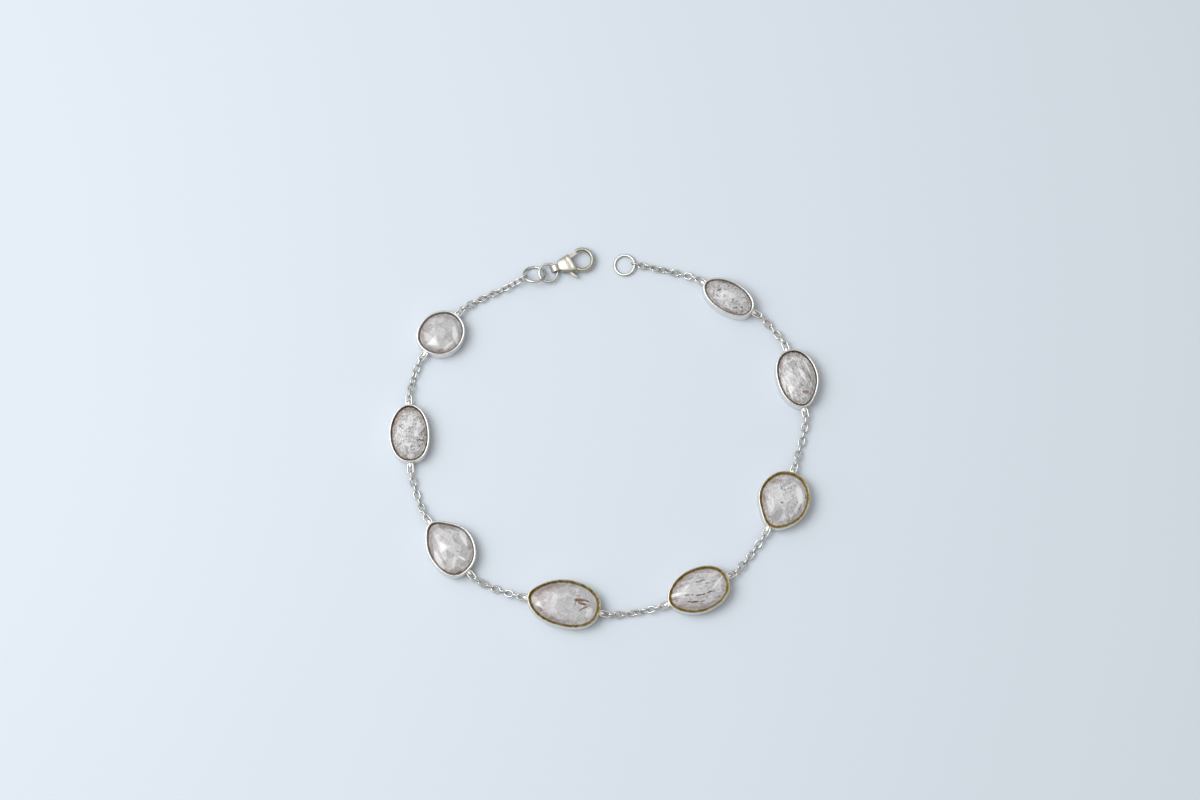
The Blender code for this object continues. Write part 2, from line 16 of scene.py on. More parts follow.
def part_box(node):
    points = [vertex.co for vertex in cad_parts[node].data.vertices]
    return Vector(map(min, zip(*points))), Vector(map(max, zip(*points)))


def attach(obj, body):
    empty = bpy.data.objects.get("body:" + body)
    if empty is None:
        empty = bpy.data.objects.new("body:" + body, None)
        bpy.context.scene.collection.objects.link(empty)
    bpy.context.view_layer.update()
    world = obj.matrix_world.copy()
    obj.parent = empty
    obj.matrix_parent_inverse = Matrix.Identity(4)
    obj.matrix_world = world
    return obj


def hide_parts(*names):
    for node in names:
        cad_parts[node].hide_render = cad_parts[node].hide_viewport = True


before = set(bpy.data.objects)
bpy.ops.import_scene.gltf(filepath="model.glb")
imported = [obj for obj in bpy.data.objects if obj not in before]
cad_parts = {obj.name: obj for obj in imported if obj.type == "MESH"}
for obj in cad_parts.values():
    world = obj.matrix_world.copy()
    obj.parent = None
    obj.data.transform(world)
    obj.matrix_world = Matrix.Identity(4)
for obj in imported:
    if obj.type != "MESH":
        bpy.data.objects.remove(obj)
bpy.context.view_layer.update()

bl_info = {
    "name": "Bezel chain bracelet",
    "version": (1, 0, 0),
    "blender": (4, 5, 0),
    "location": "View3D > Sidebar > Bracelet",
    "description": "Builds a silver bracelet of bezel-set rose cuts on cable chain",
    "category": "Add Mesh",
}

MM = 0.001
BRACELET = "bracelet"
LEVER = "lever"

# The lie of the bracelet
LIE_RADIUS = 0.032
LIE_EAST = -0.00013
LIE_NORTH = -0.00016

# One row for each bezel: its middle, the route's heading through it, its length and width as shares of the
# largest one's, the four diagonal shares of its outline, the corner at its back end, and its loops' turns
Bezel = namedtuple("Bezel", "east north heading length width ahead_left back_left back_right ahead_right "
                            "corner ahead_loop back_loop")
BEZELS = (
    Bezel(-0.845, 0.543, 239, 0.667, 0.884, 0.97, 1.04, 0.97, 1.08, 0.03, -9, -8),
    Bezel(-1.005, 0.016, 274, 0.820, 0.785, 1.05, 1.02, 0.97, 1.04, 0.00, -3, -3),
    Bezel(-0.788, -0.575, 311, 0.825, 0.907, 0.98, 0.91, 0.94, 1.12, 0.05, -5, -2),
    Bezel(-0.200, -0.866, 347, 1.000, 0.919, 1.06, 0.93, 1.02, 1.05, 0.03, -2, 6),
    Bezel(0.489, -0.800, 23, 0.880, 0.872, 1.03, 0.99, 0.96, 1.04, 0.02, 5, 0),
    Bezel(0.927, -0.334, 63, 0.825, 1.000, 1.03, 0.89, 0.97, 1.01, 0.03, 9, -2),
    Bezel(1.009, 0.306, 105, 0.840, 0.810, 1.05, 1.01, 0.93, 1.00, 0.00, 6, -4),
    Bezel(0.652, 0.737, 149, 0.783, 0.645, 1.00, 1.04, 1.02, 0.98, 0.00, -3, 2),
)
# How far round a bezel's back end its corner spreads, in degrees
CORNER_SPREAD = 26.0

# How each stone looks, mostly from 0 to 1: how misty, mottled and gritty it is, how many white shards, tan
# veins and dark flecks it holds, how far its edge blushes and darkens in painted shade, how strongly its
# facets part in painted light and shade, and how gilt its rim is inside. Its grain runs at the last angle and
# is drawn out by the last figure
StoneLook = namedtuple("StoneLook", "mist mottle grit shards veins flecks blush facets gilt grain_turn "
                                    "grain_stretch")
STONE_LOOKS = (
    StoneLook(0.45, 0.04, 0.24, 0.12, 0.15, 0.25, 0.60, 0.80, 0.15, 140, 1.6),
    StoneLook(0.75, 0.08, 0.55, 0.60, 0.85, 1.00, 0.90, 0.40, 0.25, 60, 1.3),
    StoneLook(0.40, 0.03, 0.14, 0.25, 0.30, 0.35, 0.90, 1.50, 0.15, 120, 1.8),
    StoneLook(0.50, 0.05, 0.20, 0.35, 0.15, 0.20, 0.90, 0.60, 0.80, 40, 1.8),
    StoneLook(0.60, 0.05, 0.20, 0.40, 0.30, 0.60, 0.95, 0.60, 1.00, 12, 2.2),
    StoneLook(0.85, 0.04, 0.24, 0.60, 0.30, 0.70, 0.70, 0.90, 1.00, 80, 1.4),
    StoneLook(0.90, 0.05, 0.40, 0.90, 0.75, 0.50, 0.75, 0.50, 0.20, 118, 2.0),
    StoneLook(0.85, 0.08, 0.38, 0.50, 0.60, 1.00, 0.50, 0.50, 0.10, 150, 1.2),
)

# Marks inside the stones: which stone, how far east and north of its middle, the way that the mark runs, half
# its length and breadth, in millimetres, its kind and its strength. Glints are painted highlights of facets
# that mirror the light, and some white marks are painted highlights too; the other marks are inclusions
Mark = namedtuple("Mark", "stone east north turn long broad kind strength")
MARKS = tuple(Mark(*row) for row in (
    (1, -1.15, -1.60, 200, 1.20, 1.05, "glint", 0.90),
    (1, 2.45, -0.40, 100, 1.50, 0.45, "white", 0.80),
    (1, 1.30, -2.20, 40, 1.00, 0.28, "white", 0.75),
    (1, -0.60, -3.10, 10, 1.10, 0.22, "brown", 0.35),
    (1, -1.60, 0.60, 48, 1.40, 0.10, "grey", 0.50),
    (1, 0.40, 0.90, 140, 1.60, 0.10, "grey", 0.40),
    (2, 0.20, 2.00, 95, 1.10, 0.50, "white", 0.60),
    (2, 1.50, 1.50, 80, 0.80, 0.30, "white", 0.75),
    (2, 1.20, -0.20, 80, 0.60, 0.35, "white", 0.70),
    (2, -0.10, -2.00, 0, 0.60, 0.30, "white", 0.70),
    (2, 0.30, -3.80, 20, 0.70, 0.30, "white", 0.60),
    (2, -1.30, 0.90, 140, 0.55, 0.12, "dark", 0.80),
    (2, 2.10, 0.00, 80, 0.55, 0.14, "dark", 0.60),
    (2, -0.60, -1.20, 15, 0.45, 0.09, "dark", 0.60),
    (2, -2.00, 2.30, 60, 1.60, 0.40, "brown", 0.45),
    (2, 0.00, 3.90, 0, 1.30, 0.30, "brown", 0.45),
    (3, -1.15, 0.20, 5, 1.15, 1.05, "glint", 0.85),
    (3, -1.90, -2.00, 118, 1.80, 0.38, "white", 0.70),
    (3, -1.30, -1.60, 118, 1.90, 0.12, "grey", 0.85),
    (3, -2.60, 2.60, 50, 1.00, 0.50, "grey", 0.80),
    (3, 2.20, 1.80, 115, 1.60, 0.50, "white", 0.85),
    (3, 1.90, -1.60, 150, 0.70, 0.20, "white", 0.95),
    (3, 0.20, 1.60, 62, 1.60, 0.12, "grey", 0.70),
    (3, 0.60, -2.30, 80, 1.30, 0.30, "white", 0.45),
    (3, 1.20, -0.50, 160, 0.40, 0.09, "dark", 0.80),
    (3, 3.30, -1.30, 70, 1.10, 0.14, "dark", 0.65),
    (3, 2.00, -3.60, 25, 1.40, 0.28, "brown", 0.60),
    (4, 2.55, 0.52, -4, 0.90, 0.30, "brown", 1.00),
    (4, 2.90, -0.05, -14, 0.80, 0.20, "brown", 1.00),
    (4, 3.60, 0.45, -20, 0.70, 0.16, "brown", 0.90),
    (4, 1.90, 0.25, 70, 0.60, 0.13, "brown", 0.75),
    (4, 3.35, -0.70, 20, 0.60, 0.15, "brown", 0.90),
    (4, 2.75, -1.05, 35, 0.45, 0.12, "dark", 0.70),
    (4, 4.05, -0.30, -25, 0.35, 0.08, "brown", 0.70),
    (4, 2.40, 1.30, 10, 0.40, 0.09, "brown", 0.50),
    (4, -4.20, -0.10, -40, 1.00, 0.60, "glint", 0.70),
    (4, -1.60, 0.60, 75, 1.30, 0.50, "white", 0.35),
    (4, 4.10, -1.50, 60, 0.90, 0.45, "white", 0.60),
    (4, -1.80, 2.55, 12, 2.20, 0.40, "brown", 0.30),
    (5, -2.00, -1.00, 5, 0.48, 0.12, "dark", 1.00),
    (5, -1.10, -0.98, 8, 0.26, 0.11, "dark", 0.90),
    (5, 0.00, -1.00, 10, 0.55, 0.14, "dark", 1.00),
    (5, 0.80, -0.85, 14, 0.32, 0.12, "dark", 1.00),
    (5, 1.65, -0.50, 20, 0.46, 0.12, "dark", 0.95),
    (5, -0.70, -2.10, 6, 0.75, 0.15, "brown", 1.00),
    (5, -1.60, -2.05, 0, 0.34, 0.12, "dark", 0.90),
    (5, 0.50, -2.00, 8, 0.38, 0.12, "brown", 0.90),
    (5, -0.30, 1.15, 10, 0.36, 0.11, "dark", 0.85),
    (5, 0.50, 1.45, 8, 0.55, 0.11, "brown", 0.85),
    (5, 1.40, 1.00, 12, 0.42, 0.10, "dark", 0.75),
    (5, -3.90, -0.95, 14, 1.20, 0.28, "white", 0.85),
    (5, -1.90, 0.50, 30, 0.50, 0.28, "white", 0.55),
    (5, 3.10, 1.20, 52, 1.60, 0.22, "white", 0.80),
    (5, 2.40, 2.60, 20, 1.10, 0.40, "white", 0.35),
    (5, -2.60, 1.90, 36, 2.60, 0.50, "brown", 0.35),
    (6, -0.45, -0.50, 0, 0.24, 0.20, "dark", 1.00),
    (6, -1.30, 3.10, 15, 0.90, 0.45, "brown", 0.50),
    (6, -3.30, 0.80, 86, 1.20, 0.10, "dark", 0.50),
    (6, 2.50, 0.80, 100, 1.60, 0.55, "white", 0.90),
    (6, 2.10, -1.20, 60, 1.00, 0.24, "white", 0.95),
    (6, 3.10, -0.40, 80, 1.30, 0.12, "white", 0.80),
    (6, 0.90, 2.40, 30, 1.20, 0.22, "white", 0.85),
    (6, -1.20, -2.60, 50, 1.40, 0.60, "grey", 0.70),
    (6, 0.80, -0.40, 40, 1.20, 0.10, "grey", 0.50),
    (7, 0.75, 0.60, 117, 1.25, 0.22, "white", 0.95),
    (7, 1.55, 2.00, 120, 1.10, 0.20, "white", 0.85),
    (7, 1.10, 1.30, 118, 1.80, 0.10, "dark", 0.50),
    (7, 2.00, 0.20, 112, 1.60, 0.14, "brown", 0.50),
    (7, -1.15, -2.50, 108, 1.20, 0.18, "white", 0.90),
    (7, -2.30, -0.80, 105, 1.40, 0.22, "white", 0.70),
    (7, 1.40, -2.40, 0, 0.55, 0.28, "brown", 0.85),
    (7, 1.10, -1.80, 20, 0.35, 0.08, "dark", 0.60),
    (7, -0.80, 2.20, 60, 0.80, 0.60, "grey", 0.60),
    (8, -1.60, 1.10, 30, 0.50, 0.16, "dark", 0.80),
    (8, -2.50, 0.70, 80, 0.50, 0.14, "dark", 0.65),
    (8, -1.90, 0.20, 150, 0.40, 0.12, "dark", 0.65),
    (8, -2.90, 1.70, 40, 0.70, 0.35, "grey", 0.70),
    (8, -1.00, 0.60, 20, 0.50, 0.26, "white", 0.70),
    (8, 0.20, 0.30, 150, 1.20, 0.50, "white", 0.45),
    (8, 1.20, -1.30, 150, 0.90, 0.40, "grey", 0.50),
    (8, 0.40, -2.40, 155, 1.40, 0.20, "brown", 0.40),
))

# Sections of the clasp's wedge, as shares of its length, width and thickness
WedgeSection = namedtuple("WedgeSection", "along slant offset width height")
WEDGE = (
    WedgeSection(0.00, 0.05, 0.01, 0.58, 0.74),
    WedgeSection(0.25, 0.10, -0.01, 0.77, 0.87),
    WedgeSection(0.52, 0.15, -0.03, 0.88, 0.94),
    WedgeSection(0.78, 0.21, -0.04, 0.96, 0.94),
    WedgeSection(0.81, 0.21, -0.04, 1.00, 1.00),
    WedgeSection(0.98, 0.17, -0.04, 1.00, 1.00),
    WedgeSection(1.00, 0.16, -0.04, 0.95, 0.92),
)
# How round those sections are: 1 for an oval, less for a box with round corners
WEDGE_ROUNDNESS = 0.6
# Where the clasp's eye lies and the way that the clasp points from there
CLASP_EYE = (-0.262, 0.892)
CLASP_HEADING = 20.0
# How far the eye's band reaches ahead of that, in lengths of the wedge
EYE_ALONG = 0.17
# The middle of the hook's oval, ahead of the collar in its own lengths and aside in its widths, and where the
# hook starts and ends on it, in degrees
HOOK_AHEAD = 0.4835
HOOK_ASIDE = -0.034
HOOK_ROOT_ANGLE = 212.0
HOOK_TIP_ANGLE = 465.0
# The lever's pin, the lever's outline from there, and the ends and sides of its slot, in lengths of the wedge
LEVER_PIN = (1.075, 0.125)
LEVER_OUTLINE = (
    (0.87, 0.32), (0.80, 0.53), (0.29, 0.45), (0.06, 0.35), (-0.20, 0.19), (-0.27, -0.04), (-0.16, -0.29),
    (-0.10, -0.74), (0.06, -1.09), (0.29, -1.30), (0.35, -1.20), (0.15, -0.83), (0.155, -0.37), (0.22, -0.08),
    (0.35, 0.17),
)
SLOT = ((0.60, 1.27), (-0.33, 2.0))

# Where the rings lie, how they tilt, and where chains hang on them and pull to, in degrees
CLASP_RING_MIDDLE = (-0.289, 0.873)
CHAIN_RING_MIDDLE = (-0.362, 0.863)
END_RING_MIDDLE = (0.111, 0.919)
CLASP_RING_TILT = 4.0
CHAIN_RING_TILT = 35.0
CHAIN_RING_HANG = 208.0
CHAIN_RING_PULL = 220.0
END_RING_HANG = 4.0
END_RING_PULL = -15.0


# Settings
def length(name, description, default):
    """A length that a user may change."""
    return FloatProperty(name=name, description=description, default=default, min=0.0, precision=5,
                         subtype="DISTANCE", unit="LENGTH")


def share(name, description, default, top=1.0):
    """A plain factor that a user may change."""
    return FloatProperty(name=name, description=description, default=default, min=0.0, max=top,
                         subtype="FACTOR")


def colour(name, description, default):
    """A colour that a user may change."""
    return FloatVectorProperty(name=name, description=description, default=default, min=0.0, max=1.0,
                               subtype="COLOR", size=3)


class SilverSettings(bpy.types.PropertyGroup):
    """The silver of every metal piece."""
    metal: colour("Silver", "Colour of polished silver", (0.90, 0.895, 0.87))
    cast: colour("Cast silver", "Colour of the clasp's castings", (0.68, 0.665, 0.60))
    tarnish: colour("Tarnish", "Colour of the faint film in hollows", (0.60, 0.56, 0.44))
    # Oxide film and painted shade down the flanks of wires, and how dark they are
    oxide_and_shade: colour("Oxide", "Colour of the film down the flanks of wires", (0.20, 0.178, 0.11))
    oxide_and_shade_strength: share("Oxidised", "How dark the flanks of wires are", 0.75)
    gilt: colour("Gilt", "Colour of the rim's gilt inside", (0.28, 0.18, 0.0))
    # Rim shade: painted shade in the gap between the lip and the stone, on rims that aren't gilt
    shade: colour("Rim shade", "Colour of the rim's inside where it isn't gilt", (0.050, 0.043, 0.028))
    # Painted shadow line: the contact shadow at a bezel's foot, mirrored in its wall as a dark purple-brown
    # band
    grime: colour("Painted shadow line", "Colour of the fine dark line above a bezel's foot", (0.36, 0.29, 0.28))
    polish: share("Roughness", "Roughness of the polished faces", 0.16)


class BezelSettings(bpy.types.PropertyGroup):
    """Sizes of the bezels and their loops."""
    length: length("Length", "Length of the largest bezel", 0.0122)
    width: length("Width", "Width of the largest bezel", 0.0088)
    height: length("Height", "Height of every bezel's wall", 0.0026)
    wall: length("Wall", "Thickness of the wall", 0.00036)
    lean: length("Lean", "How far the rim stands in from the foot", 0.00014)
    rim: length("Rim", "Breadth of the rim's bright crest", 0.0002)
    lip_reach: length("Lip reach", "How far the lip reaches over the stone", 0.00022)
    lip_drop: length("Lip drop", "How far the lip falls towards the stone", 0.0002)
    lip_thickness: length("Lip thickness", "Thickness of the lip", 0.00022)
    seat_height: length("Seat height", "Height of the stone's seat", 0.00095)
    seat_reach: length("Seat reach", "How far the seat reaches in", 0.00035)
    edge: length("Edge", "Radius of the edges", 0.00007)
    loop_length: length("Loop length", "Outer length of a soldered loop", 0.0021)
    loop_width: length("Loop width", "Outer width of a soldered loop", 0.00122)
    loop_wire: length("Loop wire", "Wire of a soldered loop", 0.0003)
    loop_height: length("Loop height", "Height of the loops", 0.0013)
    solder: length("Solder", "Half the breadth of the solder at a loop's foot", 0.00036)
    solder_reach: length("Solder reach", "How far the solder runs out along the loop", 0.00072)
    # Where the painted shadow line runs up the wall
    shadow_line_low: length("Dark line's foot", "Where the fine dark line above the foot starts", 0.00040)
    shadow_line_high: length("Dark line's top", "Where the fine dark line above the foot ends", 0.00115)


class StoneSettings(bpy.types.PropertyGroup):
    """Colours and finish of the stones."""
    body: colour("Body", "Colour of the clear stone near its edge", (0.47, 0.44, 0.45))
    mist: colour("Mist", "Colour of its misty heart", (0.65, 0.67, 0.71))
    # White paints the veils, and also painted highlights: some white marks and the facets that catch the
    # light
    white: colour("White", "Colour of its bright veils", (0.95, 0.96, 0.97))
    # Glint: a painted highlight, pure white, on the facets that mirror the light
    glint: colour("Glint", "Colour of the facets that glint", (1.0, 1.0, 1.0))
    tan: colour("Tan", "Colour of its fine veins", (0.33, 0.265, 0.185))
    # Grey also paints the shade of the darker facets
    grey: colour("Grey", "Colour of its smoky parts", (0.36, 0.365, 0.38))
    # The edge's rosy tint, darkened as painted shade
    blush: colour("Blush", "Colour of its edge", (0.30, 0.235, 0.22))
    brown: colour("Brown", "Colour of its brown marks", (0.20, 0.09, 0.04))
    dark: colour("Dark", "Colour of its dark marks", (0.09, 0.075, 0.062))
    clearness: share("Clearness", "How much light passes through", 0.12)
    gloss: share("Gloss", "How strongly the facets mirror", 0.5)
    clearance: length("Clearance", "Play between the stone and its setting", 0.00005)
    facet_edge: length("Facet edge", "Width of the polished facet edges", 0.00002)


class ChainSettings(bpy.types.PropertyGroup):
    """Sizes of the cable chain."""
    pitch: length("Pitch", "Distance between one link and the next", 0.00115)
    width: length("Width", "Outer width of a link", 0.00128)
    wire: length("Wire", "Wire of a link", 0.0003)
    bite: length("Bite", "How deep neighbouring links meet", 0.00008)
    height: length("Height", "Height that the chain lies at", 0.0007)
    clearance: length("Clearance", "Room between a chain's last link and what it holds", 0.0001)


class RingSettings(bpy.types.PropertyGroup):
    """Sizes of the jump rings and the end ring."""
    wire: length("Wire", "Wire of the rings", 0.00045)
    end: length("End ring", "Outer width of the end ring", 0.0038)
    chain: length("Chain ring", "Outer width of the ring that the chain hangs on", 0.004)
    clasp: length("Clasp ring", "Outer width of the ring in the clasp's eye", 0.0035)
    clasp_height: length("Clasp ring height", "Height of the clasp ring's middle", 0.0011)
    chain_height: length("Chain ring height", "Height of the chain ring's middle", 0.0013)
    end_lift: length("End ring lift", "How far the chain lifts the end ring's side", 0.00046)


class ClaspSettings(bpy.types.PropertyGroup):
    """Sizes of the lobster clasp."""
    thickness: length("Thickness", "Height of the clasp", 0.0021)
    start: length("Neck", "Distance from the eye's middle to the neck", 0.00102)
    length: length("Wedge length", "Length of the wedge and its collar", 0.0024)
    width: length("Wedge width", "Width of the collar", 0.0034)
    eye_length: length("Eye length", "Outer length of the eye", 0.00174)
    eye_height: length("Eye height", "Outer height of the eye", 0.0017)
    eye_band: length("Eye band", "Thickness of the eye's band", 0.00028)
    eye_breadth: length("Eye breadth", "Breadth of the eye's band", 0.00112)
    hook_length: length("Hook length", "Length of the hook's oval", 0.00345)
    hook_width: length("Hook width", "Width of the hook's oval", 0.00355)
    hook_wire: length("Hook wire", "Breadth of the hook's wire", 0.0007)
    hook_thickness: length("Hook thickness", "Height of the hook's wire", 0.0011)
    lever: length("Lever", "Thickness of the lever", 0.00064)
    clearance: length("Clearance", "Room between the lever and each cheek", 0.00008)
    pin: length("Pin", "Width of the pin", 0.00044)


class StageSettings(bpy.types.PropertyGroup):
    """The table, the light and the camera."""
    floor: colour("Floor", "Colour of the table", (0.685, 0.755, 0.835))
    ceiling: colour("Ceiling", "Colour of the light from above", (1.0, 0.99, 0.97))
    wall: colour("Walls", "Colour of the light from the sides", (0.25, 0.225, 0.175))
    window_wall: colour("Window wall", "Colour of the light from the window's side", (0.95, 0.97, 1.0))
    viewer: colour("Viewer's side", "Colour of the light from the viewer's side", (0.18, 0.15, 0.125))
    distance: length("Camera distance", "Distance from the camera to the table", 0.5)
    elevation: FloatProperty(name="Elevation", description="Angle of the camera's view above the table",
                             default=math.radians(80.0), subtype="ANGLE", unit="ROTATION")
    focal: FloatProperty(name="Focal length", description="Focal length in millimetres", default=90.0)
    look_east: FloatProperty(name="Look east", description="Where the camera looks, east of the middle",
                             default=-0.000712, unit="LENGTH")
    look_north: FloatProperty(name="Look north", description="Where the camera looks, north of the middle",
                              default=0.006341, unit="LENGTH")
    window: FloatProperty(name="Window", description="Power of the window's light in watts", default=0.55)
    window_size: length("Window size", "Width and height of the window's light", 0.22)
    card: FloatProperty(name="Card", description="Power of the light that the silver mirrors in watts",
                        default=0.97)
    card_size: length("Card size", "Width and height of that soft light", 0.35)
    room: share("Room light", "Strength of the room's light", 0.72, 4.0)


GROUPS = {
    "silver": SilverSettings, "bezels": BezelSettings, "stones": StoneSettings, "chain": ChainSettings,
    "rings": RingSettings, "clasp": ClaspSettings, "stage": StageSettings,
}


def settings(group):
    """One group of the settings, as the scene holds it."""
    return getattr(bpy.context.scene, "bracelet_" + group)


# Shader nodes
class Socket:
    """A node's output in an expression: each operator adds the Math node that it stands for."""

    def __init__(self, finish, output):
        self.finish = finish
        self.output = output

    def math(self, operation, first, second):
        """A Math node on two values."""
        return self.finish.add("ShaderNodeMath", {"operation": operation}, {0: first, 1: second})

    def __add__(self, other):
        return self.math("ADD", self, other)

    def __radd__(self, other):
        return self.math("ADD", other, self)

    def __sub__(self, other):
        return self.math("SUBTRACT", self, other)

    def __rsub__(self, other):
        return self.math("SUBTRACT", other, self)

    def __mul__(self, other):
        return self.math("MULTIPLY", self, other)

    def __rmul__(self, other):
        return self.math("MULTIPLY", other, self)

    def __abs__(self):
        return self.math("ABSOLUTE", self, 0.0)


# Noise that patterns a surface: its scale for each millimetre, its detail, roughness and distortion
Noise = namedtuple("Noise", "scale detail roughness distortion", defaults=(0.0,))
# Noise that is read between two of its levels, and what it gives at them
Pattern = namedtuple("Pattern", "noise low high start end", defaults=(0.0, 1.0))


class Finish:
    """A material or a world while its nodes are being laid."""

    def __init__(self, owner):
        owner.use_nodes = True
        self.tree = owner.node_tree

    def add(self, kind, setup=None, sockets=None, output=0):
        """A node of this type, with its settings, and the values or links of its sockets."""
        node = self.tree.nodes.new(kind)
        for name, value in (setup or {}).items():
            setattr(node, name, value)
        for name, value in (sockets or {}).items():
            self.feed(node.inputs[name], value)
        return Socket(self, node.outputs[output])

    def feed(self, socket, value):
        """Gives a socket its value or its link."""
        if isinstance(value, Socket):
            self.tree.links.new(value.output, socket)
        else:
            socket.default_value = value

    def millimetres(self, middle=Vector((0.0, 0.0, 0.0))):
        """Object coordinates in millimetres from a middle."""
        here = self.add("ShaderNodeTexCoord", output="Object")
        return self.add("ShaderNodeMapping", {"vector_type": "TEXTURE"},
                        {"Vector": here, "Location": middle, "Scale": (MM, MM, MM)})

    def placed(self, vector, place=(0.0, 0.0, 0.0), turn=0.0, size=(1.0, 1.0, 1.0)):
        """Coordinates seen from a place, turned and sized to it."""
        return self.add("ShaderNodeMapping", {"vector_type": "TEXTURE"},
                        {"Vector": vector, "Location": place, "Rotation": (0.0, 0.0, math.radians(turn)),
                         "Scale": size})

    def parts(self, vector):
        """The three parts of a vector."""
        east = self.add("ShaderNodeSeparateXYZ", None, {0: vector})
        return [Socket(self, output) for output in east.output.node.outputs]

    def attribute(self, name, output="Fac"):
        """What a mesh holds under this name."""
        return self.add("ShaderNodeAttribute", {"attribute_name": name}, output=output)

    def noise(self, vector, kind):
        """Soft noise from 0 to 1."""
        return self.add("ShaderNodeTexNoise", None,
                        {"Vector": vector, "Scale": kind.scale, "Detail": kind.detail,
                         "Roughness": kind.roughness, "Distortion": kind.distortion})

    def between(self, value, low, high, start=0.0, end=1.0):
        """A smooth step from start to end while the value goes from low to high."""
        return self.add("ShaderNodeMapRange", {"interpolation_type": "SMOOTHSTEP"},
                        {"Value": value, "From Min": low, "From Max": high, "To Min": start, "To Max": end})

    def pattern(self, vector, kind):
        """Noise read between two of its levels."""
        return self.between(self.noise(vector, kind.noise), kind.low, kind.high, kind.start, kind.end)

    def mix(self, amount, first, second):
        """A mix of two colours."""
        tones = {name: tone if isinstance(tone, Socket) else (*tone, 1.0)
                 for name, tone in ((6, first), (7, second))}
        return self.add("ShaderNodeMix", {"data_type": "RGBA", "clamp_factor": True}, {0: amount, **tones}, 2)

    def bump(self, height, strength, distance):
        """A bumped normal."""
        return self.add("ShaderNodeBump", None,
                        {"Height": height, "Strength": strength, "Distance": distance})


def new_material(name):
    """A material, its finish and its shader's sockets."""
    material = bpy.data.materials.new(name)
    finish = Finish(material)
    return material, finish, finish.tree.nodes["Principled BSDF"].inputs


# Silver's patterns: where its film, its oxide and painted flank shade, its lip's gilt and painted shade and
# its painted shadow line are strong
FILM = Pattern(Noise(0.9, 4.0, 0.6), 0.42, 0.70)
STREAKS = Pattern(Noise(1.9, 3.0, 0.6), 0.30, 0.60, 0.55, 1.0)
LIP_PATCHES = Pattern(Noise(1.7, 3.0, 0.6), 0.34, 0.62, 0.70, 1.0)
# Breaks in the painted shadow line
SHADOW_LINE_BREAKS = Pattern(Noise(0.35, 2.0, 0.5), 0.36, 0.60, 0.45, 1.0)
# Its uneven polish, hammered waves, fine pits and polishing lines, with the lines' turn and size
POLISH = Noise(2.3, 3.0, 0.6)
WAVES = Noise(0.75, 1.0, 0.4)
PITS = Noise(9.0, 2.0, 0.5)
LINES = Noise(1.0, 2.0, 0.5)
LINES_TURN = 35.0
LINES_SIZE = (1.6, 0.05, 0.4)
SILVER_RELIEF = 0.1 * MM


def silver(name, roughness, wave, scratch, film, lip=False, shade="metal"):
    """Silver polished on its crests: hand-worked waves, fine scratches, olive oxide with painted shade down
    its flanks, and where lip is set the rim's inside, gilt or else painted shade, and a bezel's painted
    shadow line above its foot."""
    tones = settings("silver")
    material, finish, sockets = new_material(name)
    here = finish.millimetres()
    patches = finish.pattern(here, FILM)
    flank = finish.attribute("flank")
    tone = finish.mix(patches * film, getattr(tones, shade), tones.tarnish)
    # Oxide and painted shade down the flanks: the steeper a face, the darker
    tone = finish.mix(flank * finish.pattern(here, STREAKS), tone, tones.oxide_and_shade)
    rough = roughness + 0.10 * finish.noise(here, POLISH) + patches * (0.25 * film) + flank * 0.12
    metallic = 1.0
    if lip:
        inside = finish.attribute("lip", "Alpha")
        # The lip's inside: painted shade, turned to gilt as far as the stone's look says
        tone = finish.mix(inside * finish.pattern(here, LIP_PATCHES), tone, finish.attribute("lip", "Color"))
        # Painted shadow line: the shadow at the bezel's foot, mirrored low on its wall
        tone = finish.mix(finish.attribute("grime") * finish.pattern(here, SHADOW_LINE_BREAKS), tone, tones.grime)
        rough = rough + inside * 0.2
        metallic = 1.0 - 0.15 * inside
    lines = finish.noise(finish.placed(here, turn=LINES_TURN, size=LINES_SIZE), LINES)
    pits = finish.noise(here, PITS)
    relief = finish.noise(here, WAVES) * wave + lines * scratch + pits * (0.35 * scratch)
    finish.feed(sockets["Base Color"], tone)
    finish.feed(sockets["Roughness"], rough)
    finish.feed(sockets["Metallic"], metallic)
    finish.feed(sockets["Normal"], finish.bump(relief, 1.0, SILVER_RELIEF))
    return material


# The stones' patterns: clouds in the heart, white shards, flecks and where they gather, breaks in the veils
CLOUDS = Pattern(Noise(0.30, 2.0, 0.5, 0.4), 0.36, 0.64)
SHARDS = Pattern(Noise(1.0, 2.0, 0.5, 1.6), 0.585, 0.62)
FLECKS = Pattern(Noise(2.6, 1.5, 0.5), 0.61, 0.645)
GATHERING = Pattern(Noise(0.5, 2.0, 0.5), 0.43, 0.57, 0.15, 1.0)
BREAKS = Pattern(Noise(0.9, 2.0, 0.5), 0.40, 0.54)
# Their ragged borders, mottled grain, sparkling grit, curving veils and wavy polish
RAGGED = Noise(1.6, 4.0, 0.65)
GRAIN = Noise(1.7, 4.0, 0.65, 0.6)
SPARKLE = Noise(4.2, 2.0, 0.6)
VEILS = Noise(0.75, 4.0, 0.62, 1.2)
WAVY = Noise(0.6, 2.0, 0.5)
# How far out on a stone, as shares of its reach, the rim starts to shade it and has darkened it
RIM_SHADE_START = 0.940
RIM_SHADE_END = 0.962
# How much further in the rim's painted shade reaches over a stone's edge, in gilt colour, where the rim is
# gilt
GILT_REACH = 0.012
# Painted light: each stone shows lighter on its east side. How much wider its misty heart and how much
# narrower its darkened edge get for each millimetre further east
HEART_LIGHT_SHIFT = 0.10
EDGE_SHADE_SHIFT = 0.06
STONE_RELIEF = 0.06 * MM
STONE_IOR = 1.54
# Marks reach right through a stone
MARK_DEPTH = 1000.0
# How soft the borders of a glint, a painted highlight on a facet, are, as a share of its size
GLINT_SOFTNESS = 0.22


def lip_line(number):
    """The colour inside a bezel's lip, from painted shade to gilt."""
    tones = settings("silver")
    return Vector(tones.shade).lerp(Vector(tones.gilt), STONE_LOOKS[number - 1].gilt)


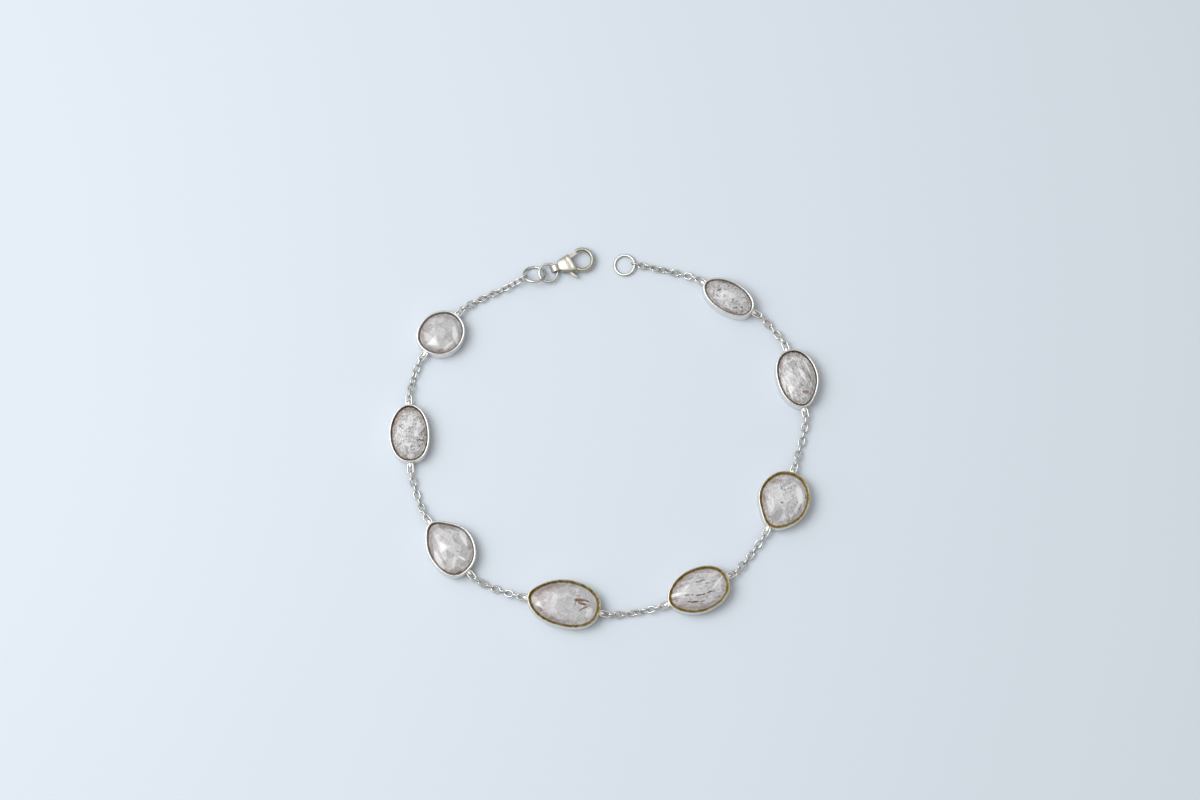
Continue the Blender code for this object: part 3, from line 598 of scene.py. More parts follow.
def crystal(number, middle):
    """One stone: mist, crystal, veins, flecks, an edge tinted and darkened in painted shade, its own marks
    with painted highlights among them, painted light and shade on its facets and painted rim shade round its
    edge, under a glassy polish.
    """
    tones = settings("stones")
    look = STONE_LOOKS[number - 1]
    material, finish, sockets = new_material(f"rose_cut_{number}")
    here = finish.millimetres(middle)
    laid = finish.placed(here, turn=look.grain_turn, size=(look.grain_stretch, 1.0, 1.0))
    east, _, _ = finish.parts(here)
    edge = finish.attribute("edge")
    facet = finish.attribute("facet")
    ragged = finish.noise(here, RAGGED)
    grain = finish.noise(laid, GRAIN)
    sparkle = finish.noise(laid, SPARKLE)
    gathered = finish.pattern(here, GATHERING)
    # Misty heart and darker edge, shifted east: painted light through the stone and painted shade at its
    # edge, with the stone's own tint
    heart = finish.between(edge + finish.pattern(here, CLOUDS) * 0.35 - east * HEART_LIGHT_SHIFT, 1.26, 0.66)
    shaded_edge = finish.between(edge + ragged * 0.5 - east * EDGE_SHADE_SHIFT, 0.976, 1.296)
    layers = [
        (heart * look.mist, tones.mist),
        (shaded_edge * look.blush, tones.blush),
        (finish.between(grain, 0.51, 0.62) * (0.7 * look.mottle), tones.white),
        (finish.between(grain, 0.48, 0.37) * (0.9 * look.mottle), tones.grey),
        (finish.pattern(laid, SHARDS) * (0.85 * look.shards), tones.white),
    ]
    for seed, thickness, strength, shade in ((0.0, 0.034, look.shards, tones.white),
                                             (31.0, 0.026, look.shards, tones.white),
                                             (57.0, 0.030, look.veins, tones.tan),
                                             (83.0, 0.018, look.veins, tones.dark),
                                             (47.0, 0.016, 0.6, tones.grey)):
        layers.append((veil_mask(finish, laid, seed, thickness) * (0.65 * strength), shade))
    layers.append((finish.between(sparkle, 0.54, 0.60) * look.grit, tones.white))
    layers.append((finish.between(sparkle, 0.47, 0.41) * look.grit, tones.grey))
    for seed, strength, shade in ((11.0, look.flecks, tones.dark), (23.0, look.veins, tones.tan)):
        specks = finish.pattern(finish.placed(laid, (seed, seed, seed)), FLECKS)
        layers.append((specks * (gathered * strength), shade))
    layers += [(mark_mask(finish, here, ragged, mark), getattr(tones, mark.kind))
               for mark in MARKS if mark.stone == number]
    # Painted shade of the rim round the stone's edge, in the lip's dark colour turned towards gilt
    reach = GILT_REACH * look.gilt
    painted_rim_shade = finish.between(edge, RIM_SHADE_START - reach, RIM_SHADE_END - reach)
    # Painted light and shade on the facets, each lighter or darker at random, then the rim's painted shade
    # round the edge
    layers += [
        (finish.between(facet, 0.55, 1.0, 0.0, 0.25) * look.facets, tones.white),
        (finish.between(facet, 0.45, 0.0, 0.0, 0.35) * look.facets, tones.grey),
        (painted_rim_shade * 0.85, lip_line(number)),
    ]
    tone = tones.body
    for mask, shade in layers:
        tone = finish.mix(mask, tone, shade)
    finish.feed(sockets["Base Color"], tone)
    finish.feed(sockets["Roughness"], 0.05 + 0.06 * ragged)
    finish.feed(sockets["Normal"], finish.bump(finish.noise(here, WAVY), 0.35, STONE_RELIEF))
    sockets["Transmission Weight"].default_value = tones.clearness
    sockets["IOR"].default_value = STONE_IOR
    sockets["Specular IOR Level"].default_value = tones.gloss
    return material


def veil_mask(finish, here, seed, thickness):
    """Thin curving veils, broken up along their length."""
    elsewhere = finish.placed(here, (seed, seed, seed))
    line = abs(finish.noise(elsewhere, VEILS) - 0.5)
    return finish.between(line, thickness, 0.2 * thickness) * finish.pattern(elsewhere, BREAKS)


def mark_mask(finish, here, ragged, mark):
    """Where one mark of a stone shows: a patch with ragged borders, or for a glint, a painted highlight, a
    triangle half the mark's size, its tip the way that the mark runs."""
    seen = finish.placed(here, (mark.east, mark.north, 0.0), mark.turn, (mark.long, mark.broad, MARK_DEPTH))
    if mark.kind != "glint":
        away = finish.add("ShaderNodeVectorMath", {"operation": "LENGTH"}, {0: seen}, "Value")
        return finish.between(away + ragged * 0.9, 1.62, 1.22) * mark.strength
    along, across, _ = finish.parts(seen)
    back = finish.between(along, -0.5 - GLINT_SOFTNESS, -0.5 + GLINT_SOFTNESS)
    slope = along * 0.5 + abs(across) * 0.87 + ragged * 0.1
    return back * finish.between(slope, 0.55 + GLINT_SOFTNESS, 0.55 - GLINT_SOFTNESS) * mark.strength


# Meshes
# How many sides a loop, a link and a ring have, and how many their wire has
LOOP_SIDES = (28, 12)
LINK_SIDES = (24, 10)
RING_SIDES = (72, 16)
# How level a surface is, 1 for fully, where the polished crest ends and where the oxide and painted flank
# shade are at their darkest
CREST_TURN = 0.84
FLANK_TURN = 0.40


def oxidise_and_shade_flanks(bm, strength):
    """Notes how dark each point of a silver piece is by how steeply it faces: oxide where no cloth reaches,
    and painted shade down the flanks.
    """
    kept_bright = bm.verts.layers.float.get("wall")
    flank = bm.verts.layers.float.new("flank")
    bm.normal_update()
    for vert in bm.verts:
        steep = min(1.0, max(0.0, (CREST_TURN - vert.normal.z) / (CREST_TURN - FLANK_TURN)))
        reach = 1.0 - vert[kept_bright] if kept_bright else 1.0
        vert[flank] = strength * steep * steep * (3.0 - 2.0 * steep) * reach


def mesh_of(name, bm):
    """The mesh of a bmesh, which ends with that."""
    mesh = bpy.data.meshes.new(name)
    bm.to_mesh(mesh)
    bm.free()
    return mesh


def linked(name, data):
    """A new object in the scene."""
    thing = bpy.data.objects.new(name, data)
    bpy.context.scene.collection.objects.link(thing)
    return thing


def finished(name, bm, material, replaced, body=BRACELET, slot="silver", sharp=50.0, dark=1.0):
    """The finished object of a bmesh in world space, riding on its body in place of a node."""
    # Silver takes oxide and painted shade down its flanks, as dark as given
    if slot == "silver":
        oxidise_and_shade_flanks(bm, dark * settings("silver").oxide_and_shade_strength)
    mesh = mesh_of(name, bm)
    mesh.materials.append(material)
    mesh.shade_smooth()
    mesh.set_sharp_from_angle(angle=math.radians(sharp))
    piece = linked(name, mesh)
    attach(piece, body)
    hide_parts(replaced)
    return piece


def face_out(bm):
    """Turns every face of a closed bmesh outward."""
    bmesh.ops.recalc_face_normals(bm, faces=bm.faces)


def turned(bm, verts, degrees, axis):
    """Turns some vertices of a bmesh about an axis."""
    bmesh.ops.rotate(bm, verts=verts, cent=(0, 0, 0), matrix=Matrix.Rotation(math.radians(degrees), 3, axis))


def tube(sides, levels, closed):
    """A tube of radius 1 whose levels lie at z = 0, 1, 2 ..., to be laid on its real form afterwards."""
    bm = bmesh.new()
    bmesh.ops.create_circle(bm, segments=sides, radius=1.0, cap_ends=not closed)
    first = bm.edges[:]
    last = first
    for level in range(1, levels):
        out = bmesh.ops.extrude_edge_only(bm, edges=last)
        raised = [item for item in out["geom"] if isinstance(item, bmesh.types.BMVert)]
        bmesh.ops.translate(bm, verts=raised, vec=(0.0, 0.0, 1.0))
        last = [item for item in out["geom"] if isinstance(item, bmesh.types.BMEdge)
                and all(round(vert.co.z) == level for vert in item.verts)]
    if closed:
        bmesh.ops.bridge_loops(bm, edges=first + last)
    else:
        bmesh.ops.contextual_create(bm, geom=last)
    return bm


def wire_ring(across, wire, fineness, stretch=0.0):
    """A ring of round wire in the XY plane, drawn out along X into a link by stretch."""
    sides, wire_sides = fineness
    bm = bmesh.new()
    profile = bmesh.ops.create_circle(bm, segments=wire_sides, radius=wire / 2)["verts"]
    turned(bm, profile, 90.0, "X")
    bmesh.ops.translate(bm, verts=profile, vec=((across - wire) / 2, 0.0, 0.0))
    turned(bm, profile, 180.0 / sides, "Z")
    bmesh.ops.spin(bm, geom=bm.verts[:] + bm.edges[:], cent=(0, 0, 0), axis=(0, 0, 1),
                   angle=math.radians(360), steps=sides, use_merge=True)
    for vert in bm.verts:
        vert.co.x += math.copysign(stretch / 2, vert.co.x)
    face_out(bm)
    return bm


def merged(parts):
    """One bmesh from several, each with the matrix that places it."""
    whole = bmesh.new()
    for bm, matrix in parts:
        bmesh.ops.transform(bm, verts=bm.verts, matrix=matrix)
        mesh = mesh_of("part", bm)
        whole.from_mesh(mesh)
        bpy.data.meshes.remove(mesh)
    return whole


def frame_along(point, direction, roll):
    """A matrix at a point: X along the direction, and Z up but for a roll about X, in degrees."""
    ahead = direction.normalized()
    side = Vector((0.0, 0.0, 1.0)).cross(ahead).normalized()
    up = ahead.cross(side)
    turn = math.radians(roll)
    left = side * math.cos(turn) + up * math.sin(turn)
    normal = up * math.cos(turn) - side * math.sin(turn)
    matrix = Matrix((ahead, left, normal)).transposed().to_4x4()
    matrix.translation = point
    return matrix


def heading_vector(degrees):
    """The level direction at an angle from east."""
    return Vector((math.cos(math.radians(degrees)), math.sin(math.radians(degrees)), 0.0))


def lie_point(shares, height):
    """A place on the table, from its shares of the lie's radius."""
    return Vector((shares[0] * LIE_RADIUS + LIE_EAST, shares[1] * LIE_RADIUS + LIE_NORTH, height))


# Bezels
BEZEL_SIDES = 120
# The solder's height, as a share of its breadth
SOLDER_HEIGHT = 0.5
# Heights on the wall, as shares of its own, between which the painted shadow line runs
WALL_STEPS = (0.12, 0.17, 0.42, 0.47)
# How much of the oxide and painted flank shade a bezel's wall is spared
WALL_BRIGHT = 0.8
# Where the painted shade or gilt inside the lip starts past the crest, in radii of its edge, and how much
# sooner where it is gilt
LIP_START = 1.2
LIP_GILDING = 2.9
# How strongly each bezel shows the painted shadow line
SHADOW_LINE_STRENGTH = (0.2, 0.1, 0.3, 0.45, 0.45, 0.4, 0.1, 0.1)


def outline_share(row, turn):
    """How far the outline reaches at this turn, as a share of its oval's reach."""
    shares = (1.0, row.ahead_left, 1.0, row.back_left, 1.0, row.back_right, 1.0, row.ahead_right)
    place = (turn % 360.0) / 45.0
    step = int(place) % 8
    t = place - int(place)
    before, start, end, after = (shares[(step + k) % 8] for k in (-1, 0, 1, 2))
    smooth = 0.5 * (2 * start + (end - before) * t + (2 * before - 5 * start + 4 * end - after) * t ** 2
                    + (3 * start - before - 3 * end + after) * t ** 3)
    off_back = (turn % 360.0) - 180.0
    return smooth + row.corner * math.exp(-(off_back / CORNER_SPREAD) ** 2)


def outline_point(row, turn, inset=0.0):
    """A point of a bezel's outline in its own frame, moved in by inset at right angles to the outline."""
    sizes = settings("bezels")

    def reach(at):
        stretch = outline_share(row, at)
        angle = math.radians(at)
        return Vector((row.length * sizes.length / 2 * stretch * math.cos(angle),
                       row.width * sizes.width / 2 * stretch * math.sin(angle), 0.0))

    step = 2.0
    along = (reach(turn + step) - reach(turn - step)).normalized()
    outward = Vector((along.y, -along.x, 0.0))
    return reach(turn) - outward * inset


def bezel_frame(row):
    """A matrix at a bezel's middle on the table, X along its heading."""
    return frame_along(lie_point((row.east, row.north), 0.0), heading_vector(row.heading), 0.0)


def rounded(before, corner, after, radius, steps=4):
    """The points of a rounded corner between two straight runs, each as inset and height."""
    start = corner + (before - corner).normalized() * radius
    end = corner + (after - corner).normalized() * radius
    points = []
    for step in range(steps + 1):
        t = step / steps
        points.append(start * (1 - t) ** 2 + corner * (2 * t * (1 - t)) + end * t ** 2)
    return points


def bezel_profile():
    """The wall's section from its outer foot up and round, as inset and height."""
    sizes = settings("bezels")
    crest = sizes.lean + sizes.rim
    lip = sizes.height - sizes.lip_drop
    corners = [Vector(corner) for corner in (
        (0.0, 0.0),
        (sizes.lean, sizes.height),
        (crest, sizes.height),
        (crest + sizes.lip_reach, lip),
        (sizes.wall, lip - sizes.lip_thickness),
        (sizes.wall, sizes.seat_height),
        (sizes.wall + sizes.seat_reach, sizes.seat_height),
        (sizes.wall + sizes.seat_reach, 0.0),
    )]
    radii = [sizes.edge, 1.8 * sizes.edge, sizes.edge, 0.4 * sizes.edge] + [sizes.edge / 2] * 4
    profile = []
    for step, corner in enumerate(corners):
        after = corners[(step + 1) % len(corners)]
        for point in rounded(corners[step - 1], corner, after, radii[step]):
            profile.append((point.x, point.y))
        if step == 0:
            profile += [(part * sizes.lean, part * sizes.height) for part in WALL_STEPS]
    return profile


def loop_matrix(row, turn):
    """A soldered loop's place in its bezel's frame: its inner end lies in the middle of the wall."""
    sizes = settings("bezels")
    foot = outline_point(row, turn)
    outward = foot.normalized()
    middle = foot + outward * (sizes.loop_length / 2 - (sizes.wall + sizes.loop_wire) / 2)
    return frame_along(middle + Vector((0.0, 0.0, sizes.loop_height)), outward, 0.0)


def solder_bead():
    """The solder at a loop's foot: a bead drawn out along the loop."""
    sizes = settings("bezels")
    bead = bmesh.new()
    bmesh.ops.create_icosphere(bead, subdivisions=3, radius=sizes.solder)
    bmesh.ops.scale(bead, verts=bead.verts, vec=(sizes.solder_reach / sizes.solder, 1.0, SOLDER_HEIGHT))
    inward = (sizes.loop_length - sizes.wall - sizes.loop_wire) / 2
    bmesh.ops.translate(bead, verts=bead.verts, vec=(-inward, 0.0, 0.0))
    return bead


def make_bezel(number, material):
    """One bezel: the wall with its rim pressed over the stone, its seat, and the two loops soldered to it."""
    row = BEZELS[number - 1]
    sizes = settings("bezels")
    profile = bezel_profile()
    place = bezel_frame(row)
    wall = tube(BEZEL_SIDES, len(profile), closed=True)
    lip = wall.verts.layers.float_color.new("lip")
    grime = wall.verts.layers.float.new("grime")
    bright = wall.verts.layers.float.new("wall")
    lip_start = LIP_START - LIP_GILDING * STONE_LOOKS[number - 1].gilt
    start = sizes.lean + sizes.rim + sizes.edge * lip_start
    line = lip_line(number)
    for vert in wall.verts:
        inset, height = profile[round(vert.co.z)]
        turn = math.degrees(math.atan2(vert.co.y, vert.co.x))
        vert.co = outline_point(row, turn, inset) + Vector((0.0, 0.0, height))
        # The lip's inside takes the painted shade, turned towards gilt, of lip_line
        inside = inset > start and height > sizes.height - sizes.lip_drop - sizes.lip_thickness
        vert[lip] = (*line, 1.0 if inside else 0.0)
        vert[bright] = WALL_BRIGHT
        # A band low on the wall takes the painted shadow line
        vert[grime] = SHADOW_LINE_STRENGTH[number - 1] if sizes.shadow_line_low < height < sizes.shadow_line_high else 0.0
    face_out(wall)
    parts = [(wall, place)]
    for turn in (row.ahead_loop, 180.0 + row.back_loop):
        stretch = sizes.loop_length - sizes.loop_width
        loop = wire_ring(sizes.loop_width, sizes.loop_wire, LOOP_SIDES, stretch)
        where = place @ loop_matrix(row, turn)
        for soldered in (loop, solder_bead()):
            plain = soldered.verts.layers.float_color.new("lip")
            for vert in soldered.verts:
                vert[plain] = (*line, 0.0)
            parts.append((soldered, where))
    return finished(f"setting_{number}", merged(parts), material, f"bezel_{number}")


# Stones
# The rows of the crown's facet corners: how far out they lie and how far up
CrownRow = namedtuple("CrownRow", "reach rise")
CROWN = (CrownRow(1.0, 0.0), CrownRow(0.78, 0.56), CrownRow(0.50, 0.88), CrownRow(0.25, 1.0))
# How near corners are one corner, and how many degrees apart neighbouring faces of one facet may lie
MERGE_REACH = 0.002 * MM
FACET_FLATNESS = 0.5


def crown_reach(rise):
    """How far out on the crown a point lies that has risen by this share of its height."""
    for outer, inner in zip(CROWN, CROWN[1:]):
        if rise <= inner.rise:
            part = max(0.0, rise - outer.rise) / (inner.rise - outer.rise)
            return outer.reach + (inner.reach - outer.reach) * part
    return CROWN[-1].reach


def make_stone(number):
    """One rose cut from its solid: its facets with their fine polished edges."""
    node = f"stone_{number}"
    bm = bmesh.new()
    bm.from_mesh(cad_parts[node].data)
    bmesh.ops.remove_doubles(bm, verts=bm.verts, dist=MERGE_REACH)
    bmesh.ops.dissolve_limit(bm, angle_limit=math.radians(FACET_FLATNESS), verts=bm.verts, edges=bm.edges)
    low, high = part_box(node)
    middle = (low + high) / 2
    crown = [edge for edge in bm.edges if max(vert.co.z for vert in edge.verts) > middle.z]
    # A random value for each facet, which the stone's material turns into painted light or shade
    facet = bm.faces.layers.float.new("facet")
    tones = random.Random(number)
    for face in bm.faces:
        face[facet] = tones.random()
    bmesh.ops.bevel(bm, geom=crown, offset=settings("stones").facet_edge, segments=1, profile=0.5,
                    affect="EDGES", material=-1, clamp_overlap=True)
    edge = bm.verts.layers.float.new("edge")
    sizes = settings("bezels")
    girdle = sizes.height - sizes.lip_drop - sizes.lip_thickness - settings("stones").clearance
    for vert in bm.verts:
        vert[edge] = crown_reach((vert.co.z - girdle) / (high.z - girdle))
    material = crystal(number, middle)
    return finished(f"rose_cut_{number}", bm, material, node, slot="stone", sharp=1.0)


# Chain
Anchor = namedtuple("Anchor", "point outward wire roll")
# How far out a chain comes down to its lying height, in times its rise
CHAIN_FALL = 5.0
# How much a chain's ends point straight at each other, from 0 to 1
CHAIN_STRAIGHTNESS = 0.6
ROUTE_SAMPLES = 80


def loop_anchor(row, turn):
    """Where a chain holds on to a bezel's loop."""
    sizes = settings("bezels")
    place = bezel_frame(row) @ loop_matrix(row, turn)
    outward = place.to_3x3() @ Vector((1.0, 0.0, 0.0))
    point = place.translation + outward * (sizes.loop_length - sizes.loop_wire) / 2
    return Anchor(point, outward, sizes.loop_wire, 90.0)


def rise_left(height, distance):
    """How far a chain that starts at this height still is above its lying height at a distance from there."""
    sizes = settings("chain")
    rise = height - sizes.height
    part = max(0.0, 1.0 - distance / (CHAIN_FALL * max(abs(rise), sizes.wire)))
    return rise * part * part * (3.0 - 2.0 * part)


def route(start, end):
    """A smooth way from one anchor to the next, down to the chain's height and up again, as many points."""
    sizes = settings("chain")
    inside_start = start.point - start.outward * ((start.wire + sizes.wire) / 2 + sizes.clearance)
    inside_end = end.point - end.outward * ((end.wire + sizes.wire) / 2 + sizes.clearance)
    chord = inside_end - inside_start
    span = chord.length
    leaving = start.outward.lerp(chord / span, CHAIN_STRAIGHTNESS) * span
    arriving = end.outward.lerp(-chord / span, CHAIN_STRAIGHTNESS) * span
    points = []
    for sample in range(ROUTE_SAMPLES + 1):
        t = sample / ROUTE_SAMPLES
        point = (inside_start * (2 * t ** 3 - 3 * t ** 2 + 1) + inside_end * (3 * t ** 2 - 2 * t ** 3)
                 + leaving * (t ** 3 - 2 * t ** 2 + t) - arriving * (t ** 3 - t ** 2))
        point.z = sizes.height + rise_left(inside_start.z, t * span)
        point.z += rise_left(inside_end.z, (1.0 - t) * span)
        points.append(point)
    return points


def walk(points, distance):
    """The point at a distance along a run of points, and past its end in a straight line."""
    for first, second in zip(points, points[1:]):
        step = (second - first).length
        if distance <= step:
            return first.lerp(second, distance / step)
        distance -= step
    return points[-1] + (points[-1] - points[-2]).normalized() * distance


def make_chain(number, start, end, material):
    """One length of cable chain: every other link is turned by a quarter."""
    sizes = settings("chain")
    points = route(start, end)
    run = sum((second - first).length for first, second in zip(points, points[1:])) - sizes.wire + sizes.bite
    count = max(2, round(run / sizes.pitch))
    pitch = run / count
    reach = pitch + sizes.wire - sizes.bite
    quarters = 90.0 * (count - 1) + start.roll - end.roll
    drift = (180.0 * round(quarters / 180.0) - quarters) / (count - 1)
    links = []
    for step in range(count):
        near = walk(points, step * pitch)
        far = walk(points, step * pitch + reach)
        link = wire_ring(sizes.width, sizes.wire, LINK_SIDES, reach + sizes.wire - sizes.width)
        roll = start.roll + step * (90.0 + drift)
        links.append((link, frame_along((near + far) / 2, far - near, roll)))
    return finished(f"cable_chain_{number}", merged(links), material, f"chain_{number}")


# Rings
def clasp_ring_matrix():
    """The ring in the clasp's eye: nearly flat, its clasp side lower."""
    down = Vector((0.0, 0.0, math.tan(math.radians(CLASP_RING_TILT))))
    return frame_along(lie_point(CLASP_RING_MIDDLE, settings("rings").clasp_height),
                       heading_vector(CLASP_HEADING) - down, 0.0)


def chain_ring_matrix():
    """The ring that the chain hangs on: it leans on the other, its north side on the table."""
    return frame_along(lie_point(CHAIN_RING_MIDDLE, settings("rings").chain_height), Vector((1.0, 0.0, 0.0)),
                       -CHAIN_RING_TILT)


def chain_ring_anchor():
    """Where the first chain holds on to its ring."""
    sizes = settings("rings")
    point = chain_ring_matrix() @ (heading_vector(CHAIN_RING_HANG) * (sizes.chain - sizes.wire) / 2)
    return Anchor(point, heading_vector(CHAIN_RING_PULL), sizes.wire, 90.0 + CHAIN_RING_TILT)


def end_ring_matrix():
    """The end ring: flat but for the side that its chain's last link holds up."""
    sizes = settings("rings")
    rise = Vector((0.0, 0.0, sizes.end_lift / (sizes.end - sizes.wire)))
    middle = lie_point(END_RING_MIDDLE, sizes.wire / 2 + sizes.end_lift / 2)
    return frame_along(middle, heading_vector(END_RING_HANG) + rise, 0.0)


def end_ring_anchor():
    """Where the last chain holds on to the end ring."""
    sizes = settings("rings")
    point = end_ring_matrix() @ Vector(((sizes.end - sizes.wire) / 2, 0.0, 0.0))
    return Anchor(point, heading_vector(END_RING_PULL), sizes.wire, 90.0)


def make_ring(name, across, matrix, material, node):
    """A plain ring of round wire."""
    ring = wire_ring(across, settings("rings").wire, RING_SIDES)
    bmesh.ops.transform(ring, verts=ring.verts, matrix=matrix)
    return finished(name, ring, material, node)


# Clasp
WEDGE_SIDES = 64
EYE_SIDES = 48
HOOK_WIRE_SIDES = 20
HOOK_STEPS = 52
PIN_SIDES = 32
# The castings' fineness in millimetres, how often they are smoothed, and what that takes off the hook's wire
CAST_GRAIN = 0.045
CAST_SMOOTHING = 4
SMOOTHING_LOSS = 0.02 * MM
# A casting has no sharp edges, and shows less of the oxide and painted flank shade than wire does
CAST_SHARP = 180.0
CAST_DARK = 0.6
# How much rougher than polished faces the castings are
CAST_ROUGHNESS = 0.13


def clasp_matrix():
    """The clasp's own frame: origin at its eye, X along the clasp."""
    eye = lie_point(CLASP_EYE, settings("clasp").thickness / 2)
    return frame_along(eye, heading_vector(CLASP_HEADING), 0.0)


def wedge_solid():
    """The clasp's body from its neck to the collar's front."""
    sizes = settings("clasp")
    bm = tube(WEDGE_SIDES, len(WEDGE), closed=False)
    for vert in bm.verts:
        section = WEDGE[round(vert.co.z)]
        angle = math.atan2(vert.co.y, vert.co.x)
        across = math.copysign(abs(math.cos(angle)) ** WEDGE_ROUNDNESS, math.cos(angle))
        up = math.copysign(abs(math.sin(angle)) ** WEDGE_ROUNDNESS, math.sin(angle))
        y = (section.offset + section.width * across / 2) * sizes.width
        x = sizes.start + section.along * sizes.length - section.slant * y
        vert.co = Vector((x, y, section.height * up * sizes.thickness / 2))
    face_out(bm)
    return bm


def eye_solid():
    """The clasp's eye: a band standing on edge, its hole across the clasp."""
    sizes = settings("clasp")
    bm = bmesh.new()
    outer = sizes.eye_height / 2
    inner = outer - sizes.eye_band
    half = sizes.eye_breadth / 2
    section = ((inner, -half), (outer, -half), (outer, half), (inner, half))
    verts = [bm.verts.new((radius, y, 0.0)) for radius, y in section]
    for first, second in zip(verts, verts[1:] + verts[:1]):
        bm.edges.new((first, second))
    bmesh.ops.spin(bm, geom=bm.verts[:] + bm.edges[:], cent=(0, 0, 0), axis=(0, 1, 0),
                   angle=math.radians(360), steps=EYE_SIDES, use_merge=True)
    for vert in bm.verts:
        vert.co.x = vert.co.x * sizes.eye_length / sizes.eye_height + EYE_ALONG * sizes.length
    face_out(bm)
    return bm


def hook_solid():
    """The hook: oval wire round an oval, from its root in the collar to its tip by the gate."""
    sizes = settings("clasp")
    bm = bmesh.new()
    stout = sizes.hook_wire / 2 + SMOOTHING_LOSS
    profile = bmesh.ops.create_circle(bm, segments=HOOK_WIRE_SIDES, radius=stout)["verts"]
    turned(bm, profile, 90.0, "X")
    bmesh.ops.scale(bm, verts=profile, vec=(1.0, 1.0, sizes.hook_thickness / sizes.hook_wire))
    bmesh.ops.translate(bm, verts=profile, vec=(sizes.hook_width / 2, 0.0, 0.0))
    turned(bm, profile, HOOK_ROOT_ANGLE, "Z")
    first = bm.edges[:]
    out = bmesh.ops.spin(bm, geom=bm.verts[:] + first, cent=(0, 0, 0), axis=(0, 0, 1),
                         angle=math.radians(HOOK_TIP_ANGLE - HOOK_ROOT_ANGLE), steps=HOOK_STEPS)
    last = [item for item in out["geom_last"] if isinstance(item, bmesh.types.BMEdge)]
    bmesh.ops.contextual_create(bm, geom=first)
    bmesh.ops.contextual_create(bm, geom=last)
    for vert in bm.verts:
        along = (vert.co.x / sizes.hook_width + HOOK_AHEAD) * sizes.hook_length
        vert.co.x = sizes.start + sizes.length + along
        vert.co.y += HOOK_ASIDE * sizes.hook_width
    face_out(bm)
    return bm


def plate(points, thickness):
    """A flat plate of a given outline, its middle at z = 0."""
    bm = bmesh.new()
    face = bm.faces.new([bm.verts.new((x, y, -thickness / 2)) for x, y in points])
    out = bmesh.ops.extrude_face_region(bm, geom=[face])
    raised = [item for item in out["geom"] if isinstance(item, bmesh.types.BMVert)]
    bmesh.ops.translate(bm, verts=raised, vec=(0.0, 0.0, thickness))
    face_out(bm)
    return bm


def pin_solid(across, depth):
    """A round pin on the lever's axis, its middle at z = 0."""
    sizes = settings("clasp")
    ahead, aside = LEVER_PIN
    bm = bmesh.new()
    bmesh.ops.create_cone(bm, cap_ends=True, segments=PIN_SIDES, radius1=across / 2, radius2=across / 2,
                          depth=depth)
    bmesh.ops.translate(bm, verts=bm.verts, vec=(ahead * sizes.length, aside * sizes.length, 0.0))
    return bm


def slot_solid():
    """The room that the lever swings in, between the body's cheeks."""
    sizes = settings("clasp")
    (back, front), (sill, reach) = SLOT
    side = sizes.width / sizes.length
    outline = ((back, -side), (front, -side), (front, sill), (reach, sill), (reach, side), (back, side))
    points = [(x * sizes.length, y * sizes.length) for x, y in outline]
    return plate(points, sizes.lever + 2 * sizes.clearance)


def in_millimetres(bm):
    """A scratch object of a bmesh, in millimetres, because the remesher works best there."""
    bmesh.ops.scale(bm, verts=bm.verts, vec=(1 / MM, 1 / MM, 1 / MM))
    return linked("scratch", mesh_of("scratch", bm))


def evaluated_mesh(scratch):
    """The mesh of a scratch object with its modifiers, and the end of the object."""
    shown = scratch.evaluated_get(bpy.context.evaluated_depsgraph_get())
    mesh = bpy.data.meshes.new_from_object(shown)
    bpy.data.objects.remove(scratch)
    return mesh


def solid_mesh(bm, tool=None):
    """The mesh of a closed solid in millimetres, with the tool cut out of it."""
    solid = in_millimetres(bm)
    if tool is None:
        return evaluated_mesh(solid)
    cutter = in_millimetres(tool)
    modifier = solid.modifiers.new("cut", "BOOLEAN")
    modifier.operation = "DIFFERENCE"
    modifier.solver = "EXACT"
    modifier.object = cutter
    mesh = evaluated_mesh(solid)
    bpy.data.objects.remove(cutter)
    return mesh


def cast(solids):
    """One casting in the clasp's place, from overlapping closed solids: joined, then smoothed."""
    whole = bmesh.new()
    for mesh in solids:
        whole.from_mesh(mesh)
    scratch = linked("casting", mesh_of("casting", whole))
    modifier = scratch.modifiers.new("cast", "REMESH")
    modifier.mode = "VOXEL"
    modifier.voxel_size = CAST_GRAIN
    bm = bmesh.new()
    bm.from_mesh(evaluated_mesh(scratch))
    for _ in range(CAST_SMOOTHING):
        bmesh.ops.smooth_vert(bm, verts=bm.verts, factor=0.5,
                              use_axis_x=True, use_axis_y=True, use_axis_z=True)
    bmesh.ops.scale(bm, verts=bm.verts, vec=(MM, MM, MM))
    bmesh.ops.transform(bm, verts=bm.verts, matrix=clasp_matrix())
    face_out(bm)
    return bm


def make_clasp_body(material):
    """The clasp's casting: wedge with the slot, eye and hook."""
    solids = [solid_mesh(wedge_solid(), slot_solid()), solid_mesh(eye_solid()), solid_mesh(hook_solid())]
    return finished("lobster_clasp", cast(solids), material, "clasp_body", sharp=CAST_SHARP, dark=CAST_DARK)


def make_lever(material):
    """The lever: gate arm, hub and thumb nub in one plate, bored for its pin."""
    sizes = settings("clasp")
    ahead, aside = LEVER_PIN
    outline = [((ahead + x) * sizes.length, (aside + y) * sizes.length) for x, y in LEVER_OUTLINE]
    bore = pin_solid(sizes.pin + 2 * sizes.clearance, 2 * sizes.lever)
    solids = [solid_mesh(plate(outline, sizes.lever), bore)]
    return finished("gate_lever", cast(solids), material, "clasp_lever", body=LEVER, sharp=CAST_SHARP,
                    dark=CAST_DARK)


# Stage
TABLE_REACH = 1.5
# How far under the pieces the table lies
TABLE_DROP = 0.01 * MM
